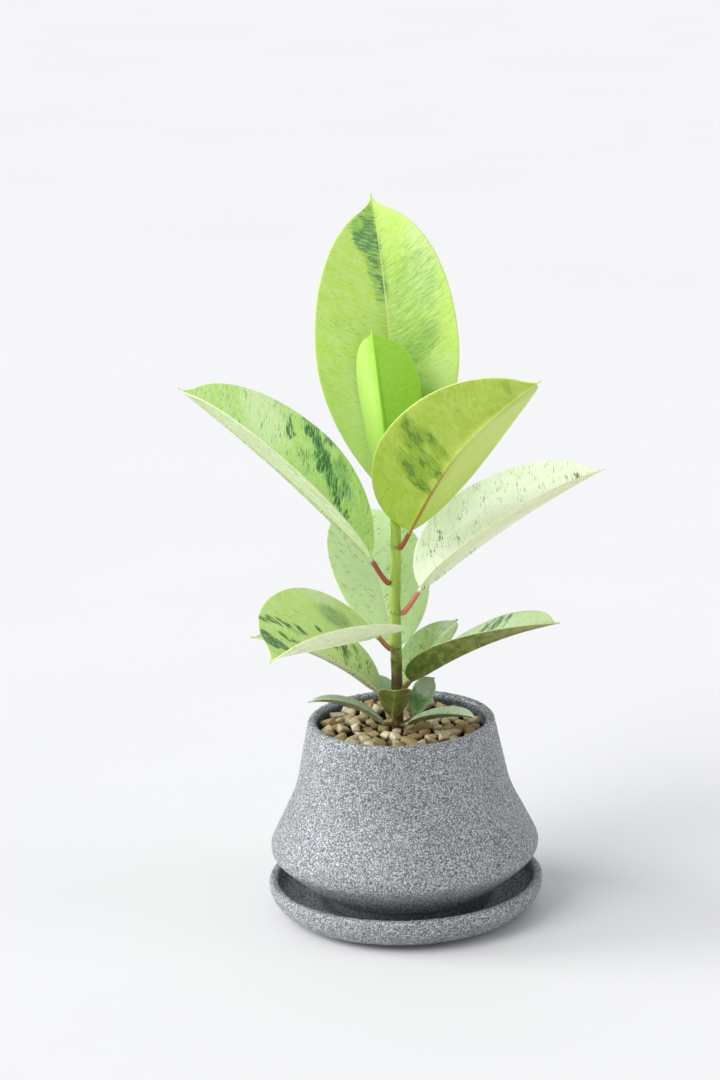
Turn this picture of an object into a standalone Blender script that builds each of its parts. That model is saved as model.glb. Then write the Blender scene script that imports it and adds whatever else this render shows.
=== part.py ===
"""A young variegated rubber plant in a flared stucco-textured pot, with its saucer.

Metres, +Z up. The origin is on the table, at the middle of the saucer's underside.
-Y is the side that the photograph shows, and +X is to its right.
"""

import math
import random

import bmesh
import bpy
from mathutils import Matrix, Vector

MM = 0.001  # lengths below are in millimetres
GAP = 0.3  # clearance between pieces that rest on each other
TURN_STEPS = 40  # facets round the pot and the saucer
ARC_STEP = 32  # degrees of a fillet that one facet spans

# Corners of the turned profiles: (radius, height, fillet radius)
RIM_HEIGHT = 112.0
FOOT_HEIGHT = 6.0
POT_INSIDE = [
    (42.0, 14.0, 6.0),
    (70.9, 40.5, 9.0),
    (54.4, 74.7, 40.0),
    (46.6, RIM_HEIGHT, 2.6),
]
POT_OUTSIDE = [
    (51.8, RIM_HEIGHT, 2.4),
    (60.0, 71.7, 53.0),
    (77.0, 37.4, 8.3),
    (60.0, 22.0, 15.0),
    (46.0, 12.5, 2.0),
    (44.0, FOOT_HEIGHT, 1.0),
    (38.0, FOOT_HEIGHT, 1.0),
    (36.0, 8.5, 1.0),
]
SAUCER_RIM = 20.0
SAUCER_FLOOR = FOOT_HEIGHT - GAP
SAUCER_INSIDE = [
    (59.0, SAUCER_FLOOR, 6.0),
    (70.6, 11.0, 8.0),
    (72.2, SAUCER_RIM, 2.3),
]
SAUCER_OUTSIDE = [
    (77.2, SAUCER_RIM, 2.3),
    (76.6, 12.0, 12.0),
    (70.0, 4.2, 9.0),
    (58.0, 0.0, 3.0),
]

SOIL_TOP = 101.7
SOIL_CLEARANCE = 0.5  # to the pot's wall, measured level
BED_BOTTOM = SOIL_TOP + GAP
BED_TOP = 104.8
STONE_SEED = 17
STONE_COUNT = 104
STONE_TRIES = 20000  # random spots tried for them
STONE_REACH = 43.4  # farthest stone centre from the pot's axis
STONE_LIMIT = 46.9  # farthest point of a stone from it
STONE_LOWEST = BED_BOTTOM + 0.3  # lowest point of a stone
STONE_SPACING = 6.6
STONE_HEIGHT = 104.1  # of the stones' centres at the pot's axis
STONE_FALL = 0.8  # how much lower they lie at their farthest spots
STONE_LEVELS = (-0.6, 1.3)  # how far they differ from that
STONE_HALF = (4.2, 2.9, 2.6)  # half its length, width and height
STONE_SIZES = (0.8, 1.12)  # smallest and largest stone against those
STONE_STRETCH = (0.8, 1.35)  # how far a stone's own length differs
STONE_DENTS = (0.6, 1.15)  # how far a corner lies in or out along each side
STONE_TILT = 0.5  # radians either way
STEM_CLEAR = 6.0  # no stone centre lies nearer the stem's axis

STEM_SINK = 70.0  # the stem's cut lower end in the soil
# (height, sideways offset, radius) of the stem's middle line
STEM_LINE = [
    (STEM_SINK, -1.9, 3.1),
    (112.0, -1.9, 3.3),
    (134.0, -1.7, 3.15),
    (158.0, -1.6, 3.1),
    (181.0, -1.4, 3.0),
    (204.0, -0.2, 3.0),
    (222.0, 0.2, 2.9),
    (236.0, 0.3, 2.5),
    (243.0, 0.3, 1.5),
    (247.0, 0.3, 0.4),
]
NODE_SWELL = 0.25  # how far a leaf scar's ring stands out
NODE_HALF = 0.9  # half the height of the ring
STEM_ROUNDNESS = 4  # bevel resolution
HOLE_SIDES = 16

SMALL_LEAF = 46.0  # leaves under this length take the coarser blade and rib
LARGE_GRID = (12, 4)  # steps along and across the blade
SMALL_GRID = (8, 4)
LARGE_RIB = 7  # steps of the midrib
SMALL_RIB = 4
BLADE_THICKNESS = 0.8
BLADE_ENDS = 0.6  # half width kept at the blade's two ends
TIP_SHARE = 0.045  # share of the length that the drip tip adds to the ellipse
TIP_WIDTH = 0.24  # share of the half width at which the drip tip starts
TIP_CURVE = 1.9  # how hollow its sides are
HOOK_START = 0.93  # share of the length at which a tip's hook starts
BASE_POWER = 1.9
TIP_POWER = 2.1
RIB_END = 0.9  # share of the blade's length that the midrib runs
RIB_THINNING = 0.72  # share of its radius that it loses on the way
RIB_SINK = 0.15  # how far the midrib's top lies inside the blade
RIB_START = 0.1  # share of the length over which the stalk goes under the blade
STALK_FOOT = 1.25  # radius at the stem against the leaf's stalk radius
STALK_START = 1.1  # radius just off the stem
STALK_LEAD = 0.7  # stalk radii that it leads straight out of the stem
STALK_BULGE = 0.22  # how strongly its ends keep their directions
CREASE = 50  # degrees past which an edge is shaded sharp


class Leaf:
    """A leaf's place and form, in millimetres and degrees.

    base is where the blade meets its stalk and joint the height of the stalk on the
    stem. heading turns the midrib round +Z from +X, rise lifts it and lean rolls the
    blade about it. droop, sweep and twist are the midrib's whole bend down, bend
    sideways and turn from the base to the tip. fold lifts the left and right halves.
    hook is how much farther the drip tip bends down.
    """

    def __init__(self, name, base, joint, heading, rise, lean, bend, fold, size, form, stalk,
                 hook=0):
        self.name = name
        self.base = Vector(base) * MM
        self.joint = joint * MM
        self.heading, self.rise, self.lean = map(math.radians, (heading, rise, lean))
        self.droop, self.sweep, self.twist = map(math.radians, bend)
        self.fold = [math.radians(angle) for angle in fold]
        self.length, self.width = size[0] * MM, size[1] * MM
        self.widest, self.base_taper, self.tip_taper = form
        self.stalk = stalk * MM
        self.hook = math.radians(hook)

    def axes(self, along):
        """The midrib's direction, the blade's right side and its upper side."""
        level = Vector((math.sin(self.heading), -math.cos(self.heading), 0))
        ahead = Vector(
            (
                math.cos(self.rise) * math.cos(self.heading),
                math.cos(self.rise) * math.sin(self.heading),
                math.sin(self.rise),
            )
        )
        above = level.cross(ahead)
        side = math.cos(self.lean) * level + math.sin(self.lean) * above
        up = math.cos(self.lean) * above - math.sin(self.lean) * level
        tip = max(0.0, (along - HOOK_START) / (1 - HOOK_START))
        down, across = self.droop * along + self.hook * tip, self.sweep * along
        forward = math.cos(across) * (math.cos(down) * ahead - math.sin(down) * up)
        forward += math.sin(across) * side
        normal = math.sin(down) * ahead + math.cos(down) * up
        right = normal.cross(forward) * -1
        turn = self.twist * along
        return (
            forward,
            math.cos(turn) * right + math.sin(turn) * normal,
            math.cos(turn) * normal - math.sin(turn) * right,
        )

    def midrib(self, along, steps=40):
        """The point of the midrib at this share of its length."""
        point = self.base.copy()
        for step in range(steps):
            share = along * (step + 0.5) / steps
            point += self.axes(share)[0] * (self.length * along / steps)
        return point

    def half_width(self, along):
        """An ellipse-like outline, widest at its own share, that ends in a drip tip."""
        if along < self.widest:
            share = 1 - (1 - along / self.widest) ** BASE_POWER
            return max(self.width / 2 * share**self.base_taper, BLADE_ENDS * MM)
        reach = 1 - TIP_SHARE - self.widest
        fall = min(1.0, (along - self.widest) / reach)
        outline = (1 - fall**TIP_POWER) ** self.tip_taper
        shoulder = (1 - TIP_WIDTH ** (1 / self.tip_taper)) ** (1 / TIP_POWER)
        shoulder = self.widest + reach * shoulder
        if along > shoulder:
            drip = TIP_WIDTH * ((1 - along) / (1 - shoulder)) ** TIP_CURVE
            outline = max(outline, drip)
        return max(self.width / 2 * outline, BLADE_ENDS * MM)

    def point(self, along, across):
        """The blade's middle surface; across runs from -1 on the left to 1 on the right."""
        _, right, normal = self.axes(along)
        angle = self.fold[0] if across < 0 else self.fold[1]
        reach = self.half_width(along)
        return (
            self.midrib(along)
            + right * (across * math.cos(angle) * reach)
            + normal * (abs(across) * math.sin(angle) * reach)
        )


LEAVES = [
    Leaf("leaf_top_back", (-1.5, 9.5, 236.5), 229.0, -3, 86, -83, (21, -16, 0),
         (15, 15), (168, 82), (0.49, 0.86, 0.56), 1.5),
    Leaf("leaf_young", (-0.5, -10.5, 237.0), 226.0, 170, 85, -69, (0, 1, 0),
         (27, 26), (98, 44), (0.66, 0.5, 0.45), 1.3),
    Leaf("leaf_upper_right", (8.0, -11.0, 222.5), 211.0, -52, 58, 16, (20, -19, -1),
         (25, 28), (135, 78), (0.39, 0.5, 0.62), 1.25),
    Leaf("leaf_left", (-14.5, -3.0, 205.5), 190.5, 194, 50, 29, (13, 4, -8),
         (36, 33), (144, 74), (0.43, 0.65, 0.54), 1.35),
    Leaf("leaf_right", (13.0, -3.0, 187.0), 173.0, 9, 37, -7, (15, -1, -3),
         (35, 35), (122, 68), (0.34, 0.54, 0.64), 1.35),
    Leaf("leaf_back", (-2.5, 8.0, 150.0), 146.0, 106, 50, -5, (18, 6, 0),
         (14, 12), (100, 60), (0.52, 0.6, 0.56), 1.3),
    Leaf("leaf_lower_left", (-12.6, -9.7, 163.4), 153.0, 247, 11, 24, (14, 17, -24),
         (35, 32), (103, 80), (0.53, 0.77, 0.42), 1.3, 65),
    Leaf("leaf_lower_left_under", (-12.0, 0.0, 127.0), 123.0, 187, 45, 12, (35, -4, -2),
         (26, 28), (80, 48), (0.5, 0.52, 0.85), 1.2),
    Leaf("leaf_lower_right", (6.0, -5.0, 135.0), 130.0, -20, 35, 15, (21, 2, -18),
         (25, 23), (98, 47), (0.34, 0.5, 0.52), 1.3),
    Leaf("leaf_lower_right_back", (2.5, 10.5, 127.0), 124.5, 48, 44, 11, (20, 6, 0),
         (14, 11), (52, 33), (0.53, 0.57, 0.61), 1.3),
    Leaf("leaf_small_back", (-4.5, 6.5, 117.5), 114.0, 126, 44, 0, (10, 0, 0),
         (12, 12), (22, 15), (0.5, 0.5, 0.6), 0.9),
    Leaf("leaf_small_front", (-4.0, -7.0, 113.5), 110.0, -87, 47, 2, (3, 0, 0),
         (25, 26), (34, 21), (0.66, 0.7, 0.5), 1.1),
    Leaf("leaf_small_upright", (6.7, -1.0, 112.5), 109.5, 6, 63, -38, (1, 3, -6),
         (15, 17), (25.5, 16), (0.6, 0.62, 0.45), 0.9, 80),
    Leaf("leaf_small_right", (3.5, -10.5, 111.5), 109.0, -17, 24, 2, (29, 4, 0),
         (24, 25), (41, 17), (0.55, 0.5, 0.6), 0.9),
    Leaf("leaf_small_left", (-10.0, -2.0, 109.5), 109.0, 178, 42, -3, (47, 0, 0),
         (30, 28), (45, 12.5), (0.56, 0.51, 0.6), 0.8, 20),
]


def clear_scene():
    for obj in list(bpy.data.objects):
        bpy.data.objects.remove(obj)


def material(name, color, roughness, metallic=0.0):
    made = bpy.data.materials.new(name)
    made.use_nodes = True
    shader = made.node_tree.nodes["Principled BSDF"]
    shader.inputs["Base Color"].default_value = (*color, 1)
    shader.inputs["Roughness"].default_value = roughness
    shader.inputs["Metallic"].default_value = metallic
    made.diffuse_color = (*color, 1)
    return made


def add_object(name, data, look=None):
    obj = bpy.data.objects.new(name, data)
    bpy.context.scene.collection.objects.link(obj)
    if look:
        data.materials.append(look)
    return obj


def mesh_object(name, bm, look=None):
    mesh = bpy.data.meshes.new(name)
    bm.to_mesh(mesh)
    bm.free()
    return add_object(name, mesh, look)


def keep_result(obj):
    """Makes the object's mesh what its modifiers give."""
    graph = bpy.context.evaluated_depsgraph_get()
    mesh = bpy.data.meshes.new_from_object(obj.evaluated_get(graph))
    mesh.name = obj.name
    obj.modifiers.clear()
    obj.data = mesh


def combine(obj, other, operation):
    modifier = obj.modifiers.new(operation.title(), "BOOLEAN")
    modifier.operation = operation
    modifier.object = other
    keep_result(obj)
    bpy.data.objects.remove(other)


def rounded(corners):
    """The profile's points in metres, with each corner's fillet as a short arc."""
    points = [Vector(corner[:2]) for corner in corners]
    path = []
    for index, (point, corner) in enumerate(zip(points, corners)):
        if index in (0, len(points) - 1) or corner[2] == 0:
            path.append(point)
            continue
        back = (points[index - 1] - point).normalized()
        ahead = (points[index + 1] - point).normalized()
        half = back.angle(ahead) / 2
        centre = point + (back + ahead).normalized() * (corner[2] / math.sin(half))
        start = point + back * (corner[2] / math.tan(half)) - centre
        sweep = (math.pi - 2 * half) * (1 if back.cross(ahead) > 0 else -1)
        steps = max(1, round(abs(sweep) / math.radians(ARC_STEP)))
        for step in range(steps + 1):
            angle = sweep * step / steps
            turned = Vector(
                (
                    start.x * math.cos(angle) + start.y * math.sin(angle),
                    start.y * math.cos(angle) - start.x * math.sin(angle),
                )
            )
            path.append(centre + turned)
    return [point * MM for point in path]


def turned_object(name, corners, look):
    """Turns a profile that runs down its outer side about the pot's axis."""
    bm = bmesh.new()
    path = [bm.verts.new((point.x, 0, point.y)) for point in rounded(corners)]
    for first, second in zip(path, path[1:]):
        bm.edges.new((first, second))
    obj = mesh_object(name, bm, look)
    screw = obj.modifiers.new("Turn", "SCREW")
    screw.steps = screw.render_steps = TURN_STEPS
    screw.use_merge_vertices = True
    screw.merge_threshold = 0.00001
    return obj


def tube_mesh(name, path, radii, sides_setting):
    """A round bar through the points, with filled ends, as a mesh object."""
    curve = bpy.data.curves.new(name, "CURVE")
    curve.dimensions = "3D"
    curve.bevel_depth = 1.0
    curve.bevel_resolution = sides_setting
    curve.use_fill_caps = True
    line = curve.splines.new("POLY")
    line.points.add(len(path) - 1)
    for spot, point, radius in zip(line.points, path, radii):
        spot.co = (*point, 1)
        spot.radius = radius
    obj = add_object(name, curve)
    graph = bpy.context.evaluated_depsgraph_get()
    mesh = bpy.data.meshes.new_from_object(obj.evaluated_get(graph))
    bpy.data.objects.remove(obj)
    bm = bmesh.new()
    bm.from_mesh(mesh)
    bmesh.ops.remove_doubles(bm, verts=bm.verts, dist=0.01 * MM)
    bmesh.ops.recalc_face_normals(bm, faces=bm.faces)
    return mesh_object(name, bm)


def stem_at(height):
    """The stem's middle and radius at this height in metres, with its leaf scars."""
    level = height / MM
    for low, high in zip(STEM_LINE, STEM_LINE[1:]):
        if level <= high[0]:
            break
    share = min(1.0, (level - low[0]) / (high[0] - low[0]))
    offset = low[1] + share * (high[1] - low[1])
    radius = low[2] + share * (high[2] - low[2])
    near = min(abs(level - leaf.joint / MM) for leaf in LEAVES)
    radius += NODE_SWELL * max(0.0, 1 - near / NODE_HALF)
    return Vector((offset * MM, 0, height)), radius * MM


def clear_of_rings(height):
    """Whether no other leaf's ring lies so near that the two would fold together."""
    nodes = sorted({leaf.joint / MM for leaf in LEAVES})
    near = min(nodes, key=lambda node: abs(node - height))
    return near == height or abs(near - height) > 0.99 * NODE_HALF


def stem():
    heights = {line[0] for line in STEM_LINE}
    for leaf in LEAVES:
        node = leaf.joint / MM
        heights |= {node - NODE_HALF, node, node + NODE_HALF}
    heights = {height for height in heights if clear_of_rings(height)}
    spots = [stem_at(height * MM) for height in sorted(heights)]
    path = [spot[0] for spot in spots]
    radii = [spot[1] for spot in spots]
    obj = tube_mesh("stem", path, radii, STEM_ROUNDNESS)
    obj.data.materials.append(material("stem_green", (0.13, 0.2, 0.04), 0.5))
    obj.data.shade_smooth()
    return obj


def stem_cutter():
    """The plain hole that the stem stands in, with its clearance."""
    bottom, top = (STEM_SINK - GAP) * MM, RIM_HEIGHT * MM
    bm = bmesh.new()
    widest = (max(radius for _, _, radius in STEM_LINE) + GAP) * MM
    bmesh.ops.create_cone(
        bm, cap_ends=True, segments=HOLE_SIDES, radius1=widest, radius2=widest, depth=top - bottom
    )
    middle = stem_at(BED_TOP * MM)[0]
    bmesh.ops.translate(bm, verts=bm.verts, vec=(middle.x, middle.y, (top + bottom) / 2))
    return mesh_object("stem_cutter", bm)


def soil():
    wall = [(radius - SOIL_CLEARANCE, height, fillet) for radius, height, fillet in POT_INSIDE]
    floor, belly, neck, rim = wall
    slope = (neck[0] - rim[0]) / (rim[1] - neck[1])
    top = (neck[0] - slope * (SOIL_TOP - neck[1]), SOIL_TOP, 0)
    floor = (floor[0], floor[1] + SOIL_CLEARANCE, floor[2])
    corners = [(0, SOIL_TOP, 0), top, neck, belly, floor, (0, floor[1], 0)]
    obj = turned_object("potting_mix", corners, material("soil", (0.05, 0.035, 0.025), 0.95))
    keep_result(obj)
    combine(obj, stem_cutter(), "DIFFERENCE")
    return obj


def stone_spots(rng):
    """Seeded spots over the bed that keep their spacing and leave the stem free."""
    middle = stem_at(BED_TOP * MM)[0] / MM
    spots = []
    for _ in range(STONE_TRIES):
        reach = STONE_REACH * math.sqrt(rng.random())
        turn = rng.uniform(0, 2 * math.pi)
        spot = Vector((reach * math.cos(turn), reach * math.sin(turn)))
        clear_of_stem = (spot - middle.xy).length > STEM_CLEAR
        if clear_of_stem and all((spot - other).length > STONE_SPACING for other in spots):
            spots.append(spot)
        if len(spots) == STONE_COUNT:
            break
    return spots


def stone_mesh(rng, spot):
    """A broken block, laid nearly flat at its spot and kept off the wall and the soil."""
    bm = bmesh.new()
    bmesh.ops.create_cube(bm, size=2)
    size = rng.uniform(*STONE_SIZES) * MM
    long = STONE_HALF[0] * rng.uniform(*STONE_STRETCH)
    for vert in bm.verts:
        vert.co = Vector(side * rng.uniform(*STONE_DENTS) * size for side in vert.co)
    bmesh.ops.scale(bm, verts=bm.verts, vec=(long, *STONE_HALF[1:]))
    for axis in ("X", "Y"):
        tilt = rng.uniform(-STONE_TILT, STONE_TILT)
        bmesh.ops.rotate(bm, verts=bm.verts, matrix=Matrix.Rotation(tilt, 3, axis))
    turn = Matrix.Rotation(rng.uniform(0, math.pi), 3, "Z")
    bmesh.ops.rotate(bm, verts=bm.verts, matrix=turn)
    height = STONE_HEIGHT - STONE_FALL * (spot.length / STONE_REACH) + rng.uniform(*STONE_LEVELS)
    place = Vector((*spot, height)) * MM
    bmesh.ops.translate(bm, verts=bm.verts, vec=place)
    inward = max(0, max(vert.co.xy.length for vert in bm.verts) - STONE_LIMIT * MM)
    upward = max(0, STONE_LOWEST * MM - min(vert.co.z for vert in bm.verts))
    move = (*(place.xy.normalized() * -inward), upward)
    bmesh.ops.translate(bm, verts=bm.verts, vec=move)
    bmesh.ops.triangulate(bm, faces=bm.faces)
    return bm


def gravel():
    rng = random.Random(STONE_SEED)
    bm = bmesh.new()
    inner, top = POT_INSIDE[2], POT_INSIDE[3]
    slope = (inner[0] - top[0]) / (top[1] - inner[1])
    low = (top[0] + slope * (RIM_HEIGHT - BED_BOTTOM) - SOIL_CLEARANCE) * MM
    high = (top[0] + slope * (RIM_HEIGHT - BED_TOP) - SOIL_CLEARANCE) * MM
    thick = (BED_TOP - BED_BOTTOM) * MM
    bmesh.ops.create_cone(
        bm, cap_ends=True, segments=TURN_STEPS, radius1=low, radius2=high, depth=thick
    )
    bmesh.ops.translate(bm, verts=bm.verts, vec=(0, 0, BED_BOTTOM * MM + thick / 2))
    look = material("gravel_tan", (0.4, 0.27, 0.13), 0.9)
    bed = mesh_object("gravel", bm, look)
    stones = bpy.data.collections.new("stones")
    bpy.context.scene.collection.children.link(stones)
    for spot in stone_spots(rng):
        bm = stone_mesh(rng, spot)
        obj = bpy.data.objects.new("stone", bpy.data.meshes.new("stone"))
        bm.to_mesh(obj.data)
        bm.free()
        stones.objects.link(obj)
    union = bed.modifiers.new("Stones", "BOOLEAN")
    union.operation = "UNION"
    union.operand_type = "COLLECTION"
    union.collection = stones
    keep_result(bed)
    for obj in list(stones.objects):
        bpy.data.objects.remove(obj)
    bpy.data.collections.remove(stones)
    combine(bed, stem_cutter(), "DIFFERENCE")
    return bed


def stalk_path(leaf):
    """The stalk from its flat seat at the stem to the blade, then the midrib under it."""
    middle, radius = stem_at(leaf.joint)
    out = (leaf.base - middle).to_2d().normalized().to_3d()
    seat = middle + out * (radius + GAP * MM)
    start = seat + out * (STALK_LEAD * leaf.stalk)
    ahead = leaf.axes(0)[0]
    bulge = STALK_BULGE * (leaf.base - start).length
    path, radii = [seat, start], [STALK_FOOT * leaf.stalk, STALK_START * leaf.stalk]
    for share in (0.25, 0.5, 0.75):
        line = start.lerp(leaf.base, share)
        line += out * (bulge * share * (1 - share) ** 2)
        line -= ahead * (bulge * share * share * (1 - share))
        path.append(line)
        radii.append(leaf.stalk * (STALK_START + share * (1 - STALK_START)))
    path.append(leaf.base)
    radii.append(leaf.stalk)
    return path, radii


def rib_path(leaf, stations):
    path, radii = [], []
    for along in stations:
        radius = leaf.stalk * (1 - RIB_THINNING * along / RIB_END)
        sink = min(1.0, along / RIB_START) * (radius - RIB_SINK * MM)
        path.append(leaf.midrib(along) - leaf.axes(along)[2] * sink)
        radii.append(radius)
    return path, radii


def leaf_object(leaf, look):
    small = leaf.length < SMALL_LEAF * MM
    steps = SMALL_GRID if small else LARGE_GRID
    ribs = SMALL_RIB if small else LARGE_RIB
    bm = bmesh.new()
    bmesh.ops.create_grid(bm, x_segments=steps[0], y_segments=steps[1], size=1)
    for vert in bm.verts:
        along = (1 - math.cos(math.pi * (vert.co.x + 1) / 2)) / 2
        vert.co = leaf.point(along, vert.co.y)
    bmesh.ops.triangulate(bm, faces=bm.faces, quad_method="FIXED")
    obj = mesh_object(leaf.name, bm, look)
    solid = obj.modifiers.new("Thickness", "SOLIDIFY")
    solid.thickness = BLADE_THICKNESS * MM
    solid.offset = 0
    keep_result(obj)
    path, radii = stalk_path(leaf)
    stations = [RIB_END * (step + 1) / ribs for step in range(ribs)]
    rib, rib_radii = rib_path(leaf, stations)
    combine(obj, tube_mesh("rib", path + rib, radii + rib_radii, 1), "UNION")
    obj.data.shade_smooth()
    obj.data.set_sharp_from_angle(angle=math.radians(CREASE))
    return obj


def main():
    clear_scene()
    stoneware = material("grey_stucco", (0.26, 0.28, 0.3), 0.75, 0.1)
    pot = [(0, POT_INSIDE[0][1], 0), *POT_INSIDE, *POT_OUTSIDE, (0, POT_OUTSIDE[-1][1], 0)]
    turned_object("pot", pot, stoneware)
    saucer = [(0, SAUCER_FLOOR, 0), *SAUCER_INSIDE, *SAUCER_OUTSIDE, (0, 0, 0)]
    turned_object("saucer", saucer, stoneware)
    soil()
    gravel()
    stem()
    pale = material("leaf_pale", (0.55, 0.68, 0.3), 0.4)
    green = material("leaf_green", (0.25, 0.42, 0.08), 0.4)
    for leaf in LEAVES:
        leaf_object(leaf, green if leaf.length < SMALL_LEAF * MM else pale)


main()
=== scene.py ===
"""Looks for a young variegated rubber plant in a stucco-textured pot with its saucer.

It runs as a script around the packed model, in metres, +Z up, with the same origin.
Lengths written as plain numbers are millimetres, and MM turns them into metres.
"""

import math
import random
from collections import namedtuple

import bmesh
import bpy
from bpy.props import FloatProperty, FloatVectorProperty, IntProperty, PointerProperty
from bpy.types import Operator, Panel, PropertyGroup
from mathutils import Matrix, Vector, noise


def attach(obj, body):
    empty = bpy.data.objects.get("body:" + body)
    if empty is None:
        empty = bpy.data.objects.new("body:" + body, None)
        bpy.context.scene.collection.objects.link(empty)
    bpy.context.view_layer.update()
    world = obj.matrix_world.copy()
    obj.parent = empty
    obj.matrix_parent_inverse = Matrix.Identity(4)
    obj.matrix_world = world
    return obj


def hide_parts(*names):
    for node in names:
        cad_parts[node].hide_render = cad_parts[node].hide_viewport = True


bl_info = {
    "name": "Potted rubber plant",
    "version": (1, 0, 0),
    "blender": (4, 5, 0),
    "location": "3D View > Sidebar > Rubber plant",
    "description": "Builds a variegated rubber plant with its pot, gravel and saucer",
    "category": "Add Mesh",
}

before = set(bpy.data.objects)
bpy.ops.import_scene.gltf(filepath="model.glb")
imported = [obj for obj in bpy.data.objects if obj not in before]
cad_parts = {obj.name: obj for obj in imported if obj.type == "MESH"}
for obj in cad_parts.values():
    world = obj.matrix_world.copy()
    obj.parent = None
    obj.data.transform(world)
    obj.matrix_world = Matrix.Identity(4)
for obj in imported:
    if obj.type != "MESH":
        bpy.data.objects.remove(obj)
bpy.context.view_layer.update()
BODY = "root"
MM = 0.001
GAP = 0.3  # clearance between pieces that rest on each other

# Corners of the turned profiles: (radius, height, fillet radius)
RIM_HEIGHT = 112.0
FOOT_HEIGHT = 6.0
POT_INSIDE = [
    (42.0, 14.0, 6.0), (70.9, 40.5, 9.0), (54.4, 74.7, 40.0), (46.6, RIM_HEIGHT, 2.6),
]
POT_OUTSIDE = [
    (51.8, RIM_HEIGHT, 2.4), (60.0, 71.7, 53.0), (77.0, 37.4, 8.3), (60.0, 22.0, 15.0),
    (46.0, 12.5, 2.0), (44.0, FOOT_HEIGHT, 1.0), (38.0, FOOT_HEIGHT, 1.0), (36.0, 8.5, 1.0),
]
SAUCER_RIM = 20.0
SAUCER_FLOOR = FOOT_HEIGHT - GAP
SAUCER_INSIDE = [(59.0, SAUCER_FLOOR, 6.0), (70.6, 11.0, 8.0), (72.2, SAUCER_RIM, 2.3)]
SAUCER_OUTSIDE = [
    (77.2, SAUCER_RIM, 2.3), (76.6, 12.0, 12.0), (70.0, 4.2, 9.0), (58.0, 0.0, 3.0),
]
ARC_STEP = 8  # degrees of a fillet that one facet spans
STUCCO_STEP = 1.25  # spacing of the rings that carry the relief
STUCCO_GRAIN = 1.9  # size of the relief's bumps
STUCCO_FINER = 2.1  # how many times smaller the bumps of its second layer are
STUCCO_SHIFT = (7, 3, 5)  # so that the two layers don't meet in one pattern
REST_BAND = 1.2  # height above a resting face over which the relief fades in
RIM_EDGE = (50.0, 47.5)  # radii between which the rim's outside becomes its inside
INNER_SHADE_TOP = 108.0  # height below which the coat nearer the axis than the rim's inside is painted darker as shade

BED_TOP = 102.6  # of the dark bed under the stones
BED_BOTTOM = 102.0
BED_RADIUS = 47.4
BED_FACETS = 96
STONE_SEED = 17
STONE_COUNT = 104
STONE_TRIES = 20000  # spots drawn at most for a layer of stones
STONE_REACH = 43.4  # farthest that a stone's middle lies from the pot's axis
STONE_LIMIT = 46.9  # and the farthest for the whole stone
STONE_LOWEST = 102.3  # height under which no stone of the top layer reaches
STONE_SPACING = 6.6  # least distance between the middles of two stones
STONE_HEIGHT = 104.1  # of the stones' middles
STONE_LEVELS = (-0.6, 1.3)  # and how far each may lie under or over it
STONE_FALL = 0.8  # how much lower the stones lie at their farthest spots
STONE_HALF = (4.2, 2.9, 2.6)  # half a stone's length, breadth and height
STONE_SIZES = (0.8, 1.12)  # scale of the smallest and the largest
STONE_STRETCH = (0.8, 1.35)  # of a stone's length alone
STONE_DENTS = (0.6, 1.15)  # share of its distance at which each corner lies
STONE_TILT = 0.5  # the most that a stone leans, in radians
STONE_BREAKS = ((0.45, 0.42), (0.18, 1.3))  # depth, and grains in a millimetre
STONE_SHADES = (0.41, 1.3)  # grains in a millimetre of the changes of shade, and range
STONE_HUES = 0.53  # grains in a millimetre of the changes of hue
STONE_DARKER = (106.6, 103.8)  # heights between which the stones get darker, as painted shade deep in the layer
FILL_COUNT = 120  # smaller stones that show in the gaps
FILL_HEIGHT = 102.7
FILL_SCALE = 0.7  # their size and spacing, as a share of the others'
STEM_CLEAR = 6.0  # least distance from the middle of a stone to the stem's

STEM_SINK = 70.0  # height of the stem's end in the potting mix
# (height, sideways offset, radius) of the stem's middle line
STEM_LINE = [
    (STEM_SINK, -1.9, 3.1), (112.0, -1.9, 3.3), (134.0, -1.7, 3.15), (158.0, -1.6, 3.1),
    (181.0, -1.4, 3.0), (204.0, -0.2, 3.0), (222.0, 0.2, 2.9), (236.0, 0.3, 2.5),
    (243.0, 0.3, 1.5), (247.0, 0.3, 0.4),
]
STEM_STEP = 0.6  # spacing of the stem's rings
STEM_SIDES = 28
STEM_CAP = 0.3  # height of the closed tip
BARK_GRAIN = (260, 260, 120)  # grains in a metre
BARK_DEPTH = 0.05  # as a share of the stem's radius
NODE_SWELL = 0.25  # how much the stem thickens at a leaf's joint
NODE_HALF = 0.9  # half height of that swelling
SCAR_HALF = 1.3  # half height of a leaf scar
SCAR_TILT = 0.3  # how steeply the scars lean
# Heights between which the stem gets young, woody and brown
STEM_YOUNG = (175, 235)
STEM_OLD = (165, 146)
STEM_FOOT = (147, 113)

BLADE_ENDS = 0.6  # least half width, at the blade's base and tip
TIP_SHARE = 0.045  # of the length, past the point where the outline alone would end
TIP_WIDTH = 0.24  # share of the width at which the drip tip begins
TIP_CURVE = 1.9  # how hollow the drip tip's sides are
HOOK_START = 0.93  # share of the length past which the hook bends the tip
BASE_POWER = 1.9  # how round the outline is before its widest place
TIP_POWER = 2.1  # and after it
RIB_END = 0.9  # share of the length past which the midrib runs out
RIB_THINNING = 0.72  # how much of its radius the midrib has lost there
RIB_SINK = 0.15  # how far the midrib stands above the middle of the blade
RIB_START = 0.1  # share of the length over which it sinks to that
STALK_FOOT = 1.25  # radius at the stem, as a share of the stalk's
STALK_START = 1.1  # and where the straight foot ends
STALK_LEAD = 0.7  # length of the foot, in radii of the stalk
STALK_BULGE = 0.22  # how strongly the stalk bends, as a share of its length
STALK_STEPS = 16
STALK_MARKS = 10  # length over which the marks run back into the stalk
RIB_LEAST = 0.1  # least width over which the blade's fold sets in
RIB_PAINT = (0.35, 0.9)  # least width of the midrib's colour, and its share of the midrib
RIB_SLOPE = 3  # of the midrib's sides outside its own width
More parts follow.
